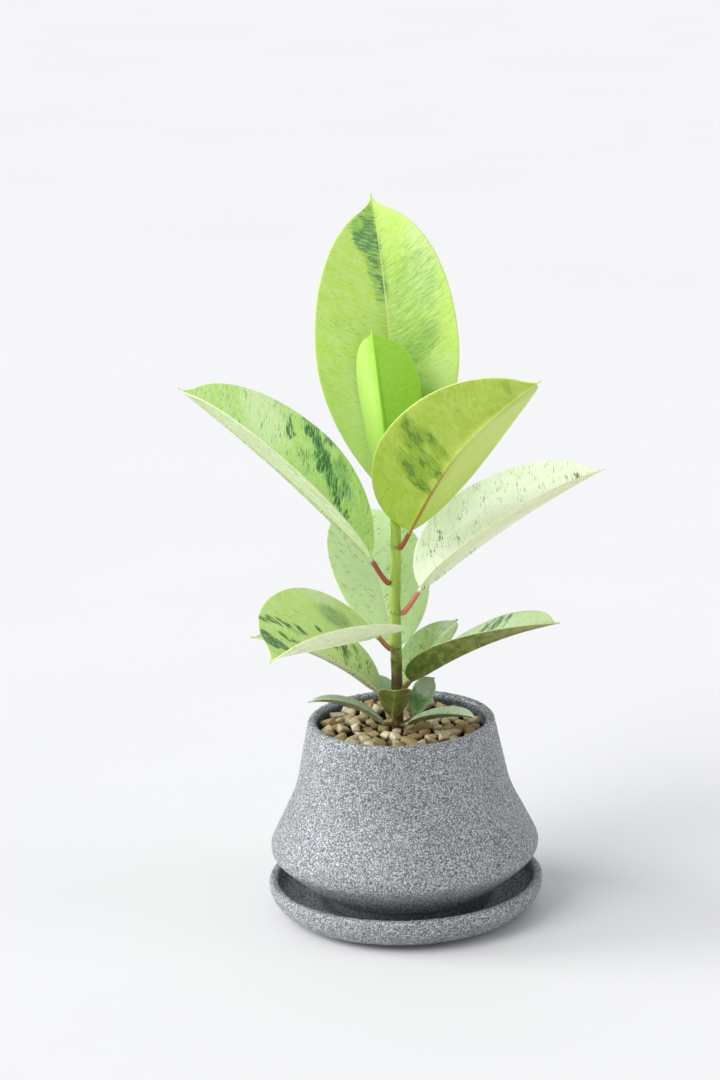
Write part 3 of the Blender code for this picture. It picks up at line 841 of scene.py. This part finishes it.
class LeafLook:
    """A leaf's colours, and where its marks lie.

    upper and lower are the two faces, tint the blotches and pale patches on them, dark
    the dashes, wash the areas round them and edge the margin. cover is how many dashes
    there are all over. specks, rim and rib are how strongly those show, as blotch and
    upper_blotch are for the blotches on the lower and the upper face. patches are rows
    of Patch's values.
    """

    def __init__(self, upper, lower, tint, dark, wash, stalk, edge, cover=0.0, specks=0.5,
                 rim=0.5, rib=0.7, blotch=0.3, upper_blotch=0.3, patches=()):
        self.upper, self.lower = display(*upper), display(*lower)
        self.tint, self.dark, self.wash = display(*tint), display(*dark), display(*wash)
        self.stalk, self.edge = display(*stalk), display(*edge)
        self.cover, self.specks, self.rim, self.rib = cover, specks, rim, rib
        self.blotch, self.upper_blotch = blotch, upper_blotch
        self.patches = [Patch(*row) for row in patches]


# Some pale patches below are painted sheen or painted light, and one wash patch painted shade; each
# is marked
LOOKS = {
    "leaf_top_back": LeafLook(
        (186, 222, 88), (186, 222, 88), (208, 232, 156), (88, 138, 84), (132, 176, 84),
        (206, 204, 140), (212, 230, 132), cover=0.3, specks=0.6, rib=0.9, patches=[
            (0.94, -0.45, 0.07, 0.55, 0.9, 1.3),
            (0.88, -0.33, 0.07, 0.45, 1.0, 1.3),
            (0.83, -0.22, 0.06, 0.32, 1.0, 1.3),
            (0.76, -0.10, 0.06, 0.20, 0.8, 1.1),
            (0.69, -0.06, 0.06, 0.14, 0.9, 0.9),
            (0.49, 0.45, 0.05, 0.35, 0.3, 0.6),
            # Painted shade: a broad, weak wash over the right half
            (0.62, 0.40, 0.34, 0.75, 0, 0.65),
            (0.58, -0.65, 0.06, 0.50, 0.1, 0.35),
            # Painted sheen near the right margin by the tip, and painted light on the lower part
            (0.80, 0.85, 0.25, 0.40, 0, 0, 0.7),
            (0.22, -0.50, 0.25, 0.70, 0, 0, 0.6),
            (0.35, 0.60, 0.15, 0.60, 0, 0, 0.7),
        ]),
    "leaf_young": LeafLook(
        (146, 202, 46), (146, 202, 46), (186, 218, 112), (140, 200, 60), (138, 196, 36),
        (150, 190, 80), (206, 240, 130), cover=-1.0, specks=0.0, rim=0.35, rib=0.0,
        blotch=0.0, upper_blotch=0.0, patches=[
            # Painted light: the right half made paler than the left
            (0.5, 0.7, 0.9, 0.75, 0, 0, 1.3),
        ]),
    "leaf_upper_right": LeafLook(
        (180, 210, 90), (172, 202, 58), (212, 226, 128), (98, 140, 44), (136, 172, 50),
        (168, 90, 50), (226, 236, 150), cover=0.15, specks=0.3, rim=0.55, rib=0.75, patches=[
            (0.465, 0.75, 0.045, 0.35, 0.9, 0.8),
            (0.450, 0.35, 0.040, 0.45, 0.8, 0.9),
            (0.380, 0.50, 0.060, 0.50, 0.65, 0.9),
            (0.290, 0.45, 0.050, 0.45, 0.8, 1.0),
            (0.240, 0.18, 0.040, 0.35, 0.8, 0.9),
            (0.340, 0.15, 0.070, 0.30, 0.65, 0.8),
            (0.630, 0.30, 0.020, 0.30, 0.5, 0.5),
            (0.880, 0.50, 0.030, 0.50, 0.3, 0.7),
            # Painted sheen: the left half made paler
            (0.50, -0.60, 0.60, 0.75, 0, 0, 1.2),
        ]),
    "leaf_left": LeafLook(
        (196, 236, 122), (192, 206, 150), (236, 254, 198), (54, 112, 68), (124, 176, 116),
        (160, 86, 66), (232, 242, 204), cover=0.45, specks=0.9, rim=0.7, rib=0.2, patches=[
            (0.51, 0.95, 0.030, 0.20, 1.2, 0.5),
            (0.46, 0.87, 0.035, 0.18, 1.2, 0.6),
            (0.41, 0.73, 0.035, 0.18, 1.4, 1.2),
            (0.36, 0.62, 0.040, 0.18, 1.5, 1.3),
            (0.31, 0.51, 0.036, 0.16, 1.4, 1.1),
            (0.26, 0.40, 0.036, 0.16, 1.2, 0.8),
            (0.20, 0.30, 0.040, 0.14, 0.9, 0.3),
            (0.30, 0.78, 0.060, 0.26, 0.2, 0.8),
            (0.23, 0.60, 0.050, 0.20, 0.2, 0.8),
            (0.40, 0.98, 0.050, 0.12, 0.4, 0.8),
            (0.38, 0.50, 0.020, 0.12, 1.1, 0.5),
            (0.56, 0.72, 0.030, 0.25, 0.6, 0.4),
            (0.44, 0.45, 0.060, 0.40, 0.2, 0.4),
            (0.66, 0.60, 0.150, 0.60, 0, 0, 1.1),
        ]),
    "leaf_right": LeafLook(
        (226, 238, 202), (236, 236, 178), (250, 255, 236), (70, 106, 76), (200, 222, 176),
        (202, 122, 104), (236, 238, 186), cover=0.5, specks=1.0, rim=0.25, rib=0.1, patches=[
            # Painted light: paler along the midrib, where the fold shades the upper face
            (0.30, -0.15, 0.50, 0.50, 0, 0, 1.5),
            (0.21, -0.60, 0.015, 0.14, 1.1),
            (0.28, -0.25, 0.012, 0.10, 1.0),
            (0.87, -0.25, 0.020, 0.20, 1.1),
        ]),
    "leaf_back": LeafLook(
        (200, 228, 162), (190, 214, 144), (220, 238, 188), (104, 146, 94), (176, 208, 138),
        (206, 206, 152), (214, 236, 172), cover=0.6, specks=1.0, rim=0.4, rib=0.9, patches=[
            (0.42, 0.85, 0.50, 0.80, 0, 1.7),
        ]),
    "leaf_lower_left": LeafLook(
        (188, 218, 118), (244, 255, 206), (214, 228, 180), (50, 102, 76), (132, 162, 104),
        (172, 120, 66), (214, 230, 160), cover=0.4, specks=0.8, rim=0.2, rib=0.2, patches=[
            (0.84, 0.95, 0.022, 0.20, 1.2, 0.5),
            (0.78, 0.73, 0.020, 0.20, 1.1, 0.4),
            (0.71, 0.52, 0.020, 0.20, 1.2, 0.6),
            (0.64, 0.34, 0.020, 0.18, 1.2, 0.6),
            (0.92, 0.90, 0.050, 0.40, 1.7, 1.6),
            (0.91, 0.55, 0.045, 0.35, 1.7, 1.6),
            (0.86, 0.28, 0.030, 0.25, 1.4, 1.2),
            (0.79, 0.38, 0.022, 0.20, 1.3, 0.9),
            (0.74, 0.22, 0.018, 0.14, 1.2, 0.6),
            (0.51, 0.28, 0.018, 0.12, 1.2),
            (0.30, 0.42, 0.140, 0.50, 0.2, 0.9),
            (0.30, 0.92, 0.150, 0.30, 0, 0, 1.0),
        ]),
    "leaf_lower_left_under": LeafLook(
        (184, 208, 134), (178, 186, 130), (204, 220, 168), (62, 94, 54), (150, 178, 110),
        (140, 112, 62), (204, 216, 150), cover=0.65, specks=1.0, rim=0.3, rib=0.2, patches=[
            (0.35, 0.5, 0.20, 0.5, 0.35),
        ]),
    "leaf_lower_right": LeafLook(
        # The lower face's dark olive is partly painted shade, for the strip that faces down
        (184, 208, 158), (90, 114, 30), (156, 154, 72), (70, 114, 76), (62, 100, 20),
        (146, 116, 58), (206, 210, 146), cover=0.2, specks=0.4, rim=0.35, rib=0.2,
        blotch=0.75, upper_blotch=0.0, patches=[
            (0.55, -0.7, 0.16, 0.5, 1.2),
            (0.12, 0.6, 0.20, 0.9, 0, 0.8),
            (0.86, 0.5, 0.26, 0.9, 0, 0, 0.7),
        ]),
    "leaf_lower_right_back": LeafLook(
        (136, 168, 90), (118, 150, 78), (186, 200, 164), (60, 92, 42), (106, 142, 62),
        (120, 116, 60), (176, 196, 140), cover=0.6, specks=1.0, rim=0.4, rib=0.15, patches=[
            (0.85, 0.0, 0.25, 1.0, 0, 0, 0.9),
        ]),
    "leaf_small_back": LeafLook(
        (156, 188, 158), (146, 174, 134), (180, 206, 180), (96, 136, 100), (136, 170, 136),
        (120, 116, 66), (186, 206, 176), cover=0.1, specks=0.4, rim=0.3, rib=0.2),
    "leaf_small_front": LeafLook(
        (120, 150, 76), (116, 128, 46), (92, 82, 38), (62, 90, 26), (84, 116, 34),
        (150, 110, 60), (188, 192, 120), cover=0.4, specks=0.8, rim=0.4, rib=0.05,
        blotch=0.9, patches=[
            (0.7, 0.4, 0.20, 0.6, 0.5, 1.3),
            (0.6, -0.5, 0.12, 0.5, 0.3, 1.0),
        ]),
    "leaf_small_upright": LeafLook(
        (108, 148, 80), (104, 142, 74), (196, 214, 178), (52, 106, 40), (78, 130, 56),
        (120, 128, 70), (180, 206, 168), cover=0.1, specks=0.3, rim=0.4, rib=0.25, patches=[
            # Painted sheen: the part towards the tip made paler
            (0.85, -0.5, 0.45, 2.2, 0, 0, 2.0),
            (0.35, 0.2, 0.25, 1.2, 0, 1.3),
        ]),
    "leaf_small_right": LeafLook(
        (206, 228, 192), (100, 118, 52), (226, 238, 216), (92, 136, 96), (146, 184, 138),
        (136, 126, 66), (204, 214, 150), cover=0.5, specks=0.8, rim=0.35, rib=0.2),
    "leaf_small_left": LeafLook(
        (164, 184, 152), (130, 148, 98), (190, 202, 180), (62, 88, 46), (104, 130, 84),
        (120, 110, 60), (216, 222, 204), cover=0.3, specks=0.5, rim=0.35, rib=0.3),
}


def stem_at(level):
    """The stem's sideways offset and radius at this height in millimetres."""
    for low, high in zip(STEM_LINE, STEM_LINE[1:]):
        if level <= high[0]:
            break
    share = min(1.0, (level - low[0]) / (high[0] - low[0]))
    offset = low[1] + share * (high[1] - low[1])
    radius = low[2] + share * (high[2] - low[2])
    near = min(abs(level - leaf.joint) for leaf in LEAVES)
    return offset, radius + NODE_SWELL * max(0.0, 1 - near / NODE_HALF)


def stem_mesh():
    """The stem turned about its own axis, then bent along its middle line."""
    count = round((STEM_LINE[-1][0] - STEM_SINK) / STEM_STEP)
    levels = [STEM_SINK + step * STEM_STEP for step in range(count + 1)]
    path = [Vector((0, STEM_SINK))]
    path += [Vector((stem_at(level)[1], level)) for level in levels]
    path.append(Vector((0, levels[-1] + STEM_CAP)))
    bm = turned(path, STEM_SIDES)
    scar = bm.verts.layers.float.new("scar")
    for vert in bm.verts:
        level = vert.co.z / MM
        tilt = vert.co.x / MM * SCAR_TILT
        near = min(abs(level + tilt - leaf.joint) for leaf in LEAVES)
        vert[scar] = max(0.0, 1 - near / SCAR_HALF)
        rough = noise.noise(Vector(part * grain for part, grain in zip(vert.co, BARK_GRAIN)))
        out = Vector((vert.co.x, vert.co.y, 0))
        vert.co += out * (rough * BARK_DEPTH)
        vert.co.x += stem_at(level)[0] * MM
    return bm


def stem_material(settings):
    made, tree, shader = new_material("stem")
    tone = mottle(tree, 130.0, 1400.0)
    x, y, height = tree.split(tree.place())
    drawn = tree.vector(x, y, tree.times(height, 0.08))
    streaks = tree.step(tree.noise(drawn, 900.0), 0.42, 0.68)
    wander = tree.times_plus(tone["Tone"], 0.014, height)

    def aged(heights):
        return tree.step(wander, heights[0] * MM, heights[1] * MM)

    color = tree.mix(aged(STEM_YOUNG), settings.middle, settings.young)
    color = tree.over(color, streaks, 0.3, settings.streak)
    color = tree.mix(aged(STEM_OLD), color, settings.old)
    color = tree.over(color, tree.step(tone["Grain"], 0.56, 0.4), 0.2, settings.middle)
    color = tree.over(color, aged(STEM_FOOT), 0.7, settings.foot)
    scar = tree.times(tree.attribute("scar", "Fac"), tree.step(streaks, -0.3, 1.0))
    tree.feed_all(shader.inputs, {
        "Base Color": tree.over(color, tree.step(scar, 0.15, 0.7), 0.9, settings.scar),
        "Roughness": tree.step(tone["Grain"], 0.3, 0.7, 0.6, 0.4),
        "Normal": tree.bump(tree.times_plus(streaks, 0.5, tone["Grain"]), 0.25),
    })
    return made


# One cross-section of a leaf: its middle and axes, its half width, the midrib's radius and
# how deep that lies, the place along the leaf, and how far down the stalk it is.
Station = namedtuple("Station", "centre right up half rib sink along stalk")


def stalk_line(leaf):
    """The stalk's points from its flat seat at the stem to the blade."""
    offset, radius = stem_at(leaf.joint)
    middle = Vector((offset, 0, leaf.joint))
    out = (leaf.base - middle).to_2d().normalized().to_3d()
    seat = middle + out * (radius + GAP)
    start = seat + out * (STALK_LEAD * leaf.stalk)
    ahead = leaf.axes(0)[0]
    bulge = STALK_BULGE * (leaf.base - start).length
    lead = STALK_STEPS // 4
    line = [seat.lerp(start, step / lead) for step in range(lead)]
    radii = [leaf.stalk * (STALK_FOOT + step / lead * (STALK_START - STALK_FOOT))
             for step in range(lead)]
    count = STALK_STEPS - lead
    for step in range(count):
        share = step / count
        point = start.lerp(leaf.base, share)
        point += out * (bulge * share * (1 - share) ** 2)
        point -= ahead * (bulge * share * share * (1 - share))
        line.append(point)
        radii.append(leaf.stalk * (STALK_START + share * (1 - STALK_START)))
    return line, radii


def stations(leaf, steps):
    """The leaf's cross-sections from the stem to the tip."""
    line, radii = stalk_line(leaf)
    points = [*line, leaf.base]
    right = leaf.axes(0)[1]
    made = []
    for index in range(len(line) - 1, -1, -1):
        ahead = (points[index + 1] - points[max(0, index - 1)]).normalized()
        right = (right - ahead * right.dot(ahead)).normalized()
        radius = radii[index]
        away = 1 - index / STALK_STEPS
        made.insert(0, Station(points[index], right, right.cross(ahead), radius, radius, 0,
                               -STALK_MARKS * away, away))
    for step in range(steps + 1):
        along = (1 - math.cos(math.pi * step / steps)) / 2
        _, right, up = leaf.axes(along)
        rib = leaf.stalk * max(0.0, 1 - RIB_THINNING * along / RIB_END)
        if along > RIB_END:
            rib *= max(0.0, (1 - along) / (1 - RIB_END))
        sink = min(1.0, along / RIB_START) * (rib - RIB_SINK)
        half = max(leaf.half_width(along), rib)
        made.append(Station(leaf.midrib(along), right, up, half, rib, sink,
                            along * leaf.length, 0))
    return made


def smooth_low(first, second, blend):
    """The lower of two values, with their meeting rounded."""
    overlap = max(0.0, blend - abs(first - second)) / blend
    return min(first, second) - overlap * overlap * blend / 4


def margin_width(half):
    """How wide the rounded edge is on a blade of this half width."""
    return min(MARGIN, MARGIN_MOST * half)


def across_at(share, station):
    """How far out a column of the grid lies: close at the midrib and at the margin."""
    half, rib = station.half, station.rib
    reach = abs(share)
    inner = min(RIB_SPREAD[0] * rib, RIB_SPREAD[1] * half)
    edge = margin_width(half)
    if reach < RIB_COLUMNS:
        flat = inner * reach / RIB_COLUMNS
    elif reach < MARGIN_COLUMNS:
        middle = (reach - RIB_COLUMNS) / (MARGIN_COLUMNS - RIB_COLUMNS)
        flat = inner + (half - edge - inner) * middle
    else:
        last = (reach - MARGIN_COLUMNS) / (1 - MARGIN_COLUMNS)
        flat = half - edge + edge * math.sin(last * math.pi / 2)
    flatness = min(1.0, max(0.0, (half / max(rib, 0.01) - 1) / FLAT_FROM))
    round_out = half * math.sin(reach * math.pi / 2)
    return math.copysign(round_out + flatness * (flat - round_out), share)


def section_level(station, out, face, settings):
    """How high a point of the smooth blade and its midrib lies, this far out."""
    reach = abs(out)
    half, rib, sink = station.half, station.rib, station.sink
    edge = margin_width(half)
    rim = max(0.0, (reach - half + edge) / edge)
    body = 0.0
    if station.stalk == 0:
        body = settings.thickness / MM / 2 * math.sqrt(max(0.0, 1 - rim * rim))
    body *= min(1.0, (half - rib) / (BLADE_START[0] * rib + BLADE_START[1]))
    rise = math.sqrt(rib * rib - reach * reach) if reach < rib else RIB_SLOPE * (rib - reach)
    if face > 0:
        return -smooth_low(-body, sink - rise, RIB_FILLET_ABOVE)
    return smooth_low(-body, -sink - rise, RIB_FILLET)


def relief(leaf, station, out, face, settings):
    """How much the blade rises between its veins and swells, with its groove above."""
    reach = abs(out)
    from_margin, from_rib, from_tip = RELIEF_FADES
    fade = min(1.0, (station.half - reach) / from_margin)
    fade *= min(1.0, reach / from_rib) * min(1.0, station.half / from_tip)
    turn = 2 * math.pi * (station.along - vein_lead(reach)) / (settings.vein_spacing / MM)
    seed = Vector((len(leaf.name), leaf.length * 0.1, leaf.width * 0.1))
    swell = noise.noise(Vector((station.along, out, 0)) / SWELL_SIZE + seed)
    rise = math.cos(turn) * settings.quilting / MM + swell * SWELL_RISE * leaf.width
    side, depth, start = GROOVE
    groove = max(0.0, 1 - reach / (station.rib + side)) if face > 0 else 0.0
    return fade * rise - depth * groove * groove * min(1.0, station.along / start)


def marks_at(leaf, look, along, out):
    """How strongly the leaf is marked at a point given in millimetres."""
    total = Vector((look.cover, 0, 0))
    for patch in look.patches:
        total += patch.strength(leaf, along, out)
    return total


def leaf_mesh(leaf, look, settings):
    """A flat grid and its copy above, closed at the edges and shaped along the leaf."""
    small = leaf.length < SMALL_LEAF
    lengthwise = settings.lengthwise // 2 if small else settings.lengthwise
    crosswise = settings.crosswise // 2 if small else settings.crosswise
    rows = stations(leaf, lengthwise)
    count = len(rows) - 1
    bm = bmesh.new()
    blade = bm.verts.layers.float_vector.new("blade")
    zone = bm.verts.layers.float_vector.new("zone")
    marks = bm.verts.layers.float_vector.new("marks")
    bmesh.ops.create_grid(bm, x_segments=count, y_segments=crosswise, size=1)
    raised = bmesh.ops.extrude_face_region(bm, geom=bm.faces[:])["geom"]
    upper = {item for item in raised if isinstance(item, bmesh.types.BMVert)}
    for vert in bm.verts:
        station = rows[round((vert.co.x + 1) / 2 * count)]
        face = 1 if vert in upper else -1
        out = across_at(vert.co.y, station)
        inside = abs(vert.co.y) < LAST_COLUMN
        level = section_level(station, out, face, settings) if inside else 0.0
        if station.stalk == 0 and station.half >= 2 * station.rib:
            level += relief(leaf, station, out, face, settings)
        half = 0 if out < 0 else 1
        angle = leaf.fold[half] if station.stalk == 0 else 0
        point = station.centre + station.right * (out * math.cos(angle))
        point += station.up * (abs(out) * math.sin(angle))
        normal = station.up * math.cos(angle)
        normal -= station.right * (math.copysign(math.sin(angle), out) if out else 0)
        ease = min(1.0, abs(out) / max(RIB_LEAST, station.rib))
        normal = station.up.lerp(normal, ease).normalized()
        near_rib = max(0.0, 1 - abs(out) / max(RIB_PAINT[0], station.rib * RIB_PAINT[1]))
        vert[blade] = (station.along, out, face * inside)
        vert[zone] = (near_rib, station.half - abs(out), station.stalk)
        vert[marks] = marks_at(leaf, look, station.along, out)
        vert.co = (point + normal * level) * MM
    bmesh.ops.remove_doubles(bm, verts=bm.verts, dist=0.001 * MM)
    bmesh.ops.recalc_face_normals(bm, faces=bm.faces)
    return bm


def leaf_material(leaf, look, settings):
    """The leaf's two faces, marked along its veins, with midrib, stalk and margin."""
    made, tree, shader = new_material(leaf.name)
    blade = tree.attribute("blade", "Vector")
    near_rib, margin, stalk = tree.split(tree.attribute("zone", "Vector"))
    along, _, side = tree.split(blade)
    face = tree.step(side, -0.5, 0.5)
    inputs = {
        "Blade": blade,
        "Marks": tree.attribute("marks", "Vector"),
        "Seed": (leaf.length * 7.3 + leaf.width) % 50,
        "Vein spacing": settings.vein_spacing / MM,
    }
    pattern = use_group(tree, "veins", vein_group, inputs)
    layers = (
        ("Blotches", tree.step(face, 0.0, 1.0, look.blotch, look.upper_blotch), look.tint),
        # Pale patches, in places painted sheen or painted light
        ("Pale", 0.8, look.tint),
        ("Flecks", 0.3, look.tint),
        ("Veins", 0.07, settings.vein),
        ("Grain", 0.22, look.wash),
        # Wash, in one place painted shade
        ("Wash", 0.9, look.wash),
        ("Specks", 0.8 * look.specks, look.dark),
        ("Halo", 0.5, look.wash),
        ("Dashes", 0.92, look.dark),
    )
    color = tree.mix(face, look.lower, look.upper)
    for mask, share, top in layers:
        color = tree.over(color, pattern[mask], share, top)
    color = tree.over(color, tree.step(margin, 0.75, 0.15), look.rim, look.edge)
    near_base = tree.step(along, leaf.length * 0.8, leaf.length * 0.1)
    rib = tree.mix(near_base, look.edge, look.stalk)
    color = tree.over(color, tree.step(near_rib, 0.1, 0.6), look.rib, rib)
    gloss = tree.step(face, 0.0, 1.0, 0.5, 0.36)
    height = tree.times_plus(pattern["Veins"], -0.4, pattern["Cells"])
    tree.feed_all(shader.inputs, {
        "Base Color": tree.mix(tree.step(stalk, 0.0, 0.12), color, look.stalk),
        "Roughness": tree.times_plus(pattern["Cells"], 0.12, gloss),
        "Normal": tree.bump(height, 0.1, 0.7),
    })
    return made


class PieceOperator(Operator):
    """Shared options of the operators that build pieces."""

    bl_options = {"REGISTER", "UNDO"}


class PLANT_OT_saucer(PieceOperator):
    """Build the saucer"""

    bl_idname = "rubber_plant.saucer"
    bl_label = "Saucer"

    def execute(self, context):
        corners = [(0, SAUCER_FLOOR, 0), *SAUCER_INSIDE, *SAUCER_OUTSIDE, (0, 0, 0)]
        add_coated("saucer", corners, 0.0, context.scene.rubber_plant_pot)
        return {"FINISHED"}


class PLANT_OT_pot(PieceOperator):
    """Build the pot"""

    bl_idname = "rubber_plant.pot"
    bl_label = "Pot"

    def execute(self, context):
        inside = [(0, POT_INSIDE[0][1], 0), *POT_INSIDE]
        corners = [*inside, *POT_OUTSIDE, (0, POT_OUTSIDE[-1][1], 0)]
        add_coated("pot", corners, FOOT_HEIGHT, context.scene.rubber_plant_pot)
        return {"FINISHED"}


class PLANT_OT_soil(PieceOperator):
    """Give the potting mix its finish"""

    bl_idname = "rubber_plant.soil"
    bl_label = "Potting mix"

    def execute(self, context):
        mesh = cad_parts["potting_mix"].data
        mesh.materials.clear()
        mesh.materials.append(soil_material(context.scene.rubber_plant_gravel))
        return {"FINISHED"}


class PLANT_OT_gravel(PieceOperator):
    """Build the stones of the top dressing"""

    bl_idname = "rubber_plant.gravel"
    bl_label = "Gravel"

    def execute(self, context):
        settings = context.scene.rubber_plant_gravel
        look = gravel_material(settings)
        add_piece("gravel", gravel_mesh(settings), look)
        return {"FINISHED"}


class PLANT_OT_stem(PieceOperator):
    """Build the stem"""

    bl_idname = "rubber_plant.stem"
    bl_label = "Stem"

    def execute(self, context):
        look = stem_material(context.scene.rubber_plant_stem)
        add_piece("stem", stem_mesh(), look)
        return {"FINISHED"}


class PLANT_OT_leaves(PieceOperator):
    """Build every leaf with its stalk"""

    bl_idname = "rubber_plant.leaves"
    bl_label = "Leaves"

    def execute(self, context):
        settings = context.scene.rubber_plant_leaves
        for leaf in LEAVES:
            look = LOOKS[leaf.name]
            finish = leaf_material(leaf, look, settings)
            add_piece(leaf.name, leaf_mesh(leaf, look, settings), finish)
        return {"FINISHED"}


class PLANT_OT_stage(PieceOperator):
    """Set the floor, the lights and the camera"""

    bl_idname = "rubber_plant.stage"
    bl_label = "Stage"

    def execute(self, context):
        settings = context.scene.rubber_plant_stage
        make_floor(settings)
        make_lights(context.scene, settings)
        make_camera(context.scene, settings)
        return {"FINISHED"}


def make_floor(settings):
    made, tree, shader = new_material("floor")
    worn = [value * FLOOR_WORN for value in settings.floor]
    color = tree.mix(mottle(tree, 3.0)["Tone"], settings.floor, worn)
    tree.feed_all(shader.inputs, {"Base Color": color, "Roughness": 0.7})
    bm = bmesh.new()
    bmesh.ops.create_circle(bm, cap_ends=True, segments=96, radius=FLOOR_RADIUS)
    bmesh.ops.translate(bm, verts=bm.verts, vec=(0, 0, -FLOOR_DROP * MM))
    mesh_object("floor", bm, made)


def make_lights(scene, settings):
    world = bpy.data.worlds.new("room")
    world.use_nodes = True
    background = world.node_tree.nodes["Background"]
    background.inputs["Color"].default_value = (*settings.sky, 1)
    background.inputs["Strength"].default_value = settings.sky_strength
    scene.world = world
    lights = (
        ("key", settings.key, (-1.5, -1.2, 2.1)),
        ("window", settings.window, (-2.0, 0.3, 0.9)),
        ("fill", settings.fill, (2.0, -0.4, 1.0)),
    )
    for name, strength, spot in lights:
        light = bpy.data.lights.new(name, "SUN")
        light.angle = math.radians(SOFTNESS)
        light.energy = strength
        lamp = place_object(name, light)
        lamp.location = spot
        ahead = Vector(LIGHT_TARGET) - Vector(spot)
        lamp.rotation_euler = ahead.to_track_quat("-Z", "Y").to_euler()
    scene.view_settings.view_transform = "Standard"


def make_camera(scene, settings):
    down, roll = math.radians(CAMERA_DOWN), math.radians(CAMERA_ROLL)
    right = Vector((1, 0, 0))
    up = Vector((0, math.sin(down), math.cos(down)))
    back = Vector((0, -math.cos(down), math.sin(down)))
    level = math.cos(roll) * right - math.sin(roll) * up
    upright = math.sin(roll) * right + math.cos(roll) * up
    turn = Matrix((level, upright, back)).transposed().to_4x4()
    lens = bpy.data.cameras.new("camera")
    lens.sensor_fit = "VERTICAL"
    lens.sensor_height = FRAME_HEIGHT
    lens.lens = settings.focal
    camera = place_object("camera", lens)
    camera.matrix_world = Matrix.Translation(CAMERA_PLACE) @ turn
    scene.camera = camera


PIECES = (
    PLANT_OT_saucer,
    PLANT_OT_pot,
    PLANT_OT_soil,
    PLANT_OT_gravel,
    PLANT_OT_stem,
    PLANT_OT_leaves,
    PLANT_OT_stage,
)
SETTINGS = {
    "rubber_plant_pot": PotSettings,
    "rubber_plant_gravel": GravelSettings,
    "rubber_plant_stem": StemSettings,
    "rubber_plant_leaves": LeafSettings,
    "rubber_plant_stage": StageSettings,
}


class PLANT_PT_sidebar(Panel):
    """Lists the pieces and what can be changed on them"""

    bl_idname = "PLANT_PT_sidebar"
    bl_label = "Rubber plant"
    bl_space_type = "VIEW_3D"
    bl_region_type = "UI"
    bl_category = "Rubber plant"

    def draw(self, context):
        for name, group in SETTINGS.items():
            box = self.layout.box()
            box.label(text=group.__doc__.rstrip("."))
            for key in group.__annotations__:
                box.prop(getattr(context.scene, name), key)
        for piece in PIECES:
            self.layout.operator(piece.bl_idname)


def register():
    for group in SETTINGS.values():
        bpy.utils.register_class(group)
    for name, group in SETTINGS.items():
        setattr(bpy.types.Scene, name, PointerProperty(type=group))
    for piece in PIECES:
        bpy.utils.register_class(piece)
    bpy.utils.register_class(PLANT_PT_sidebar)


def unregister():
    bpy.utils.unregister_class(PLANT_PT_sidebar)
    for piece in reversed(PIECES):
        bpy.utils.unregister_class(piece)
    for name, group in SETTINGS.items():
        delattr(bpy.types.Scene, name)
        bpy.utils.unregister_class(group)


def main():
    register()
    for piece in PIECES:
        family, action = piece.bl_idname.split(".")
        getattr(getattr(bpy.ops, family), action)()


if __name__ == "__main__":
    main()
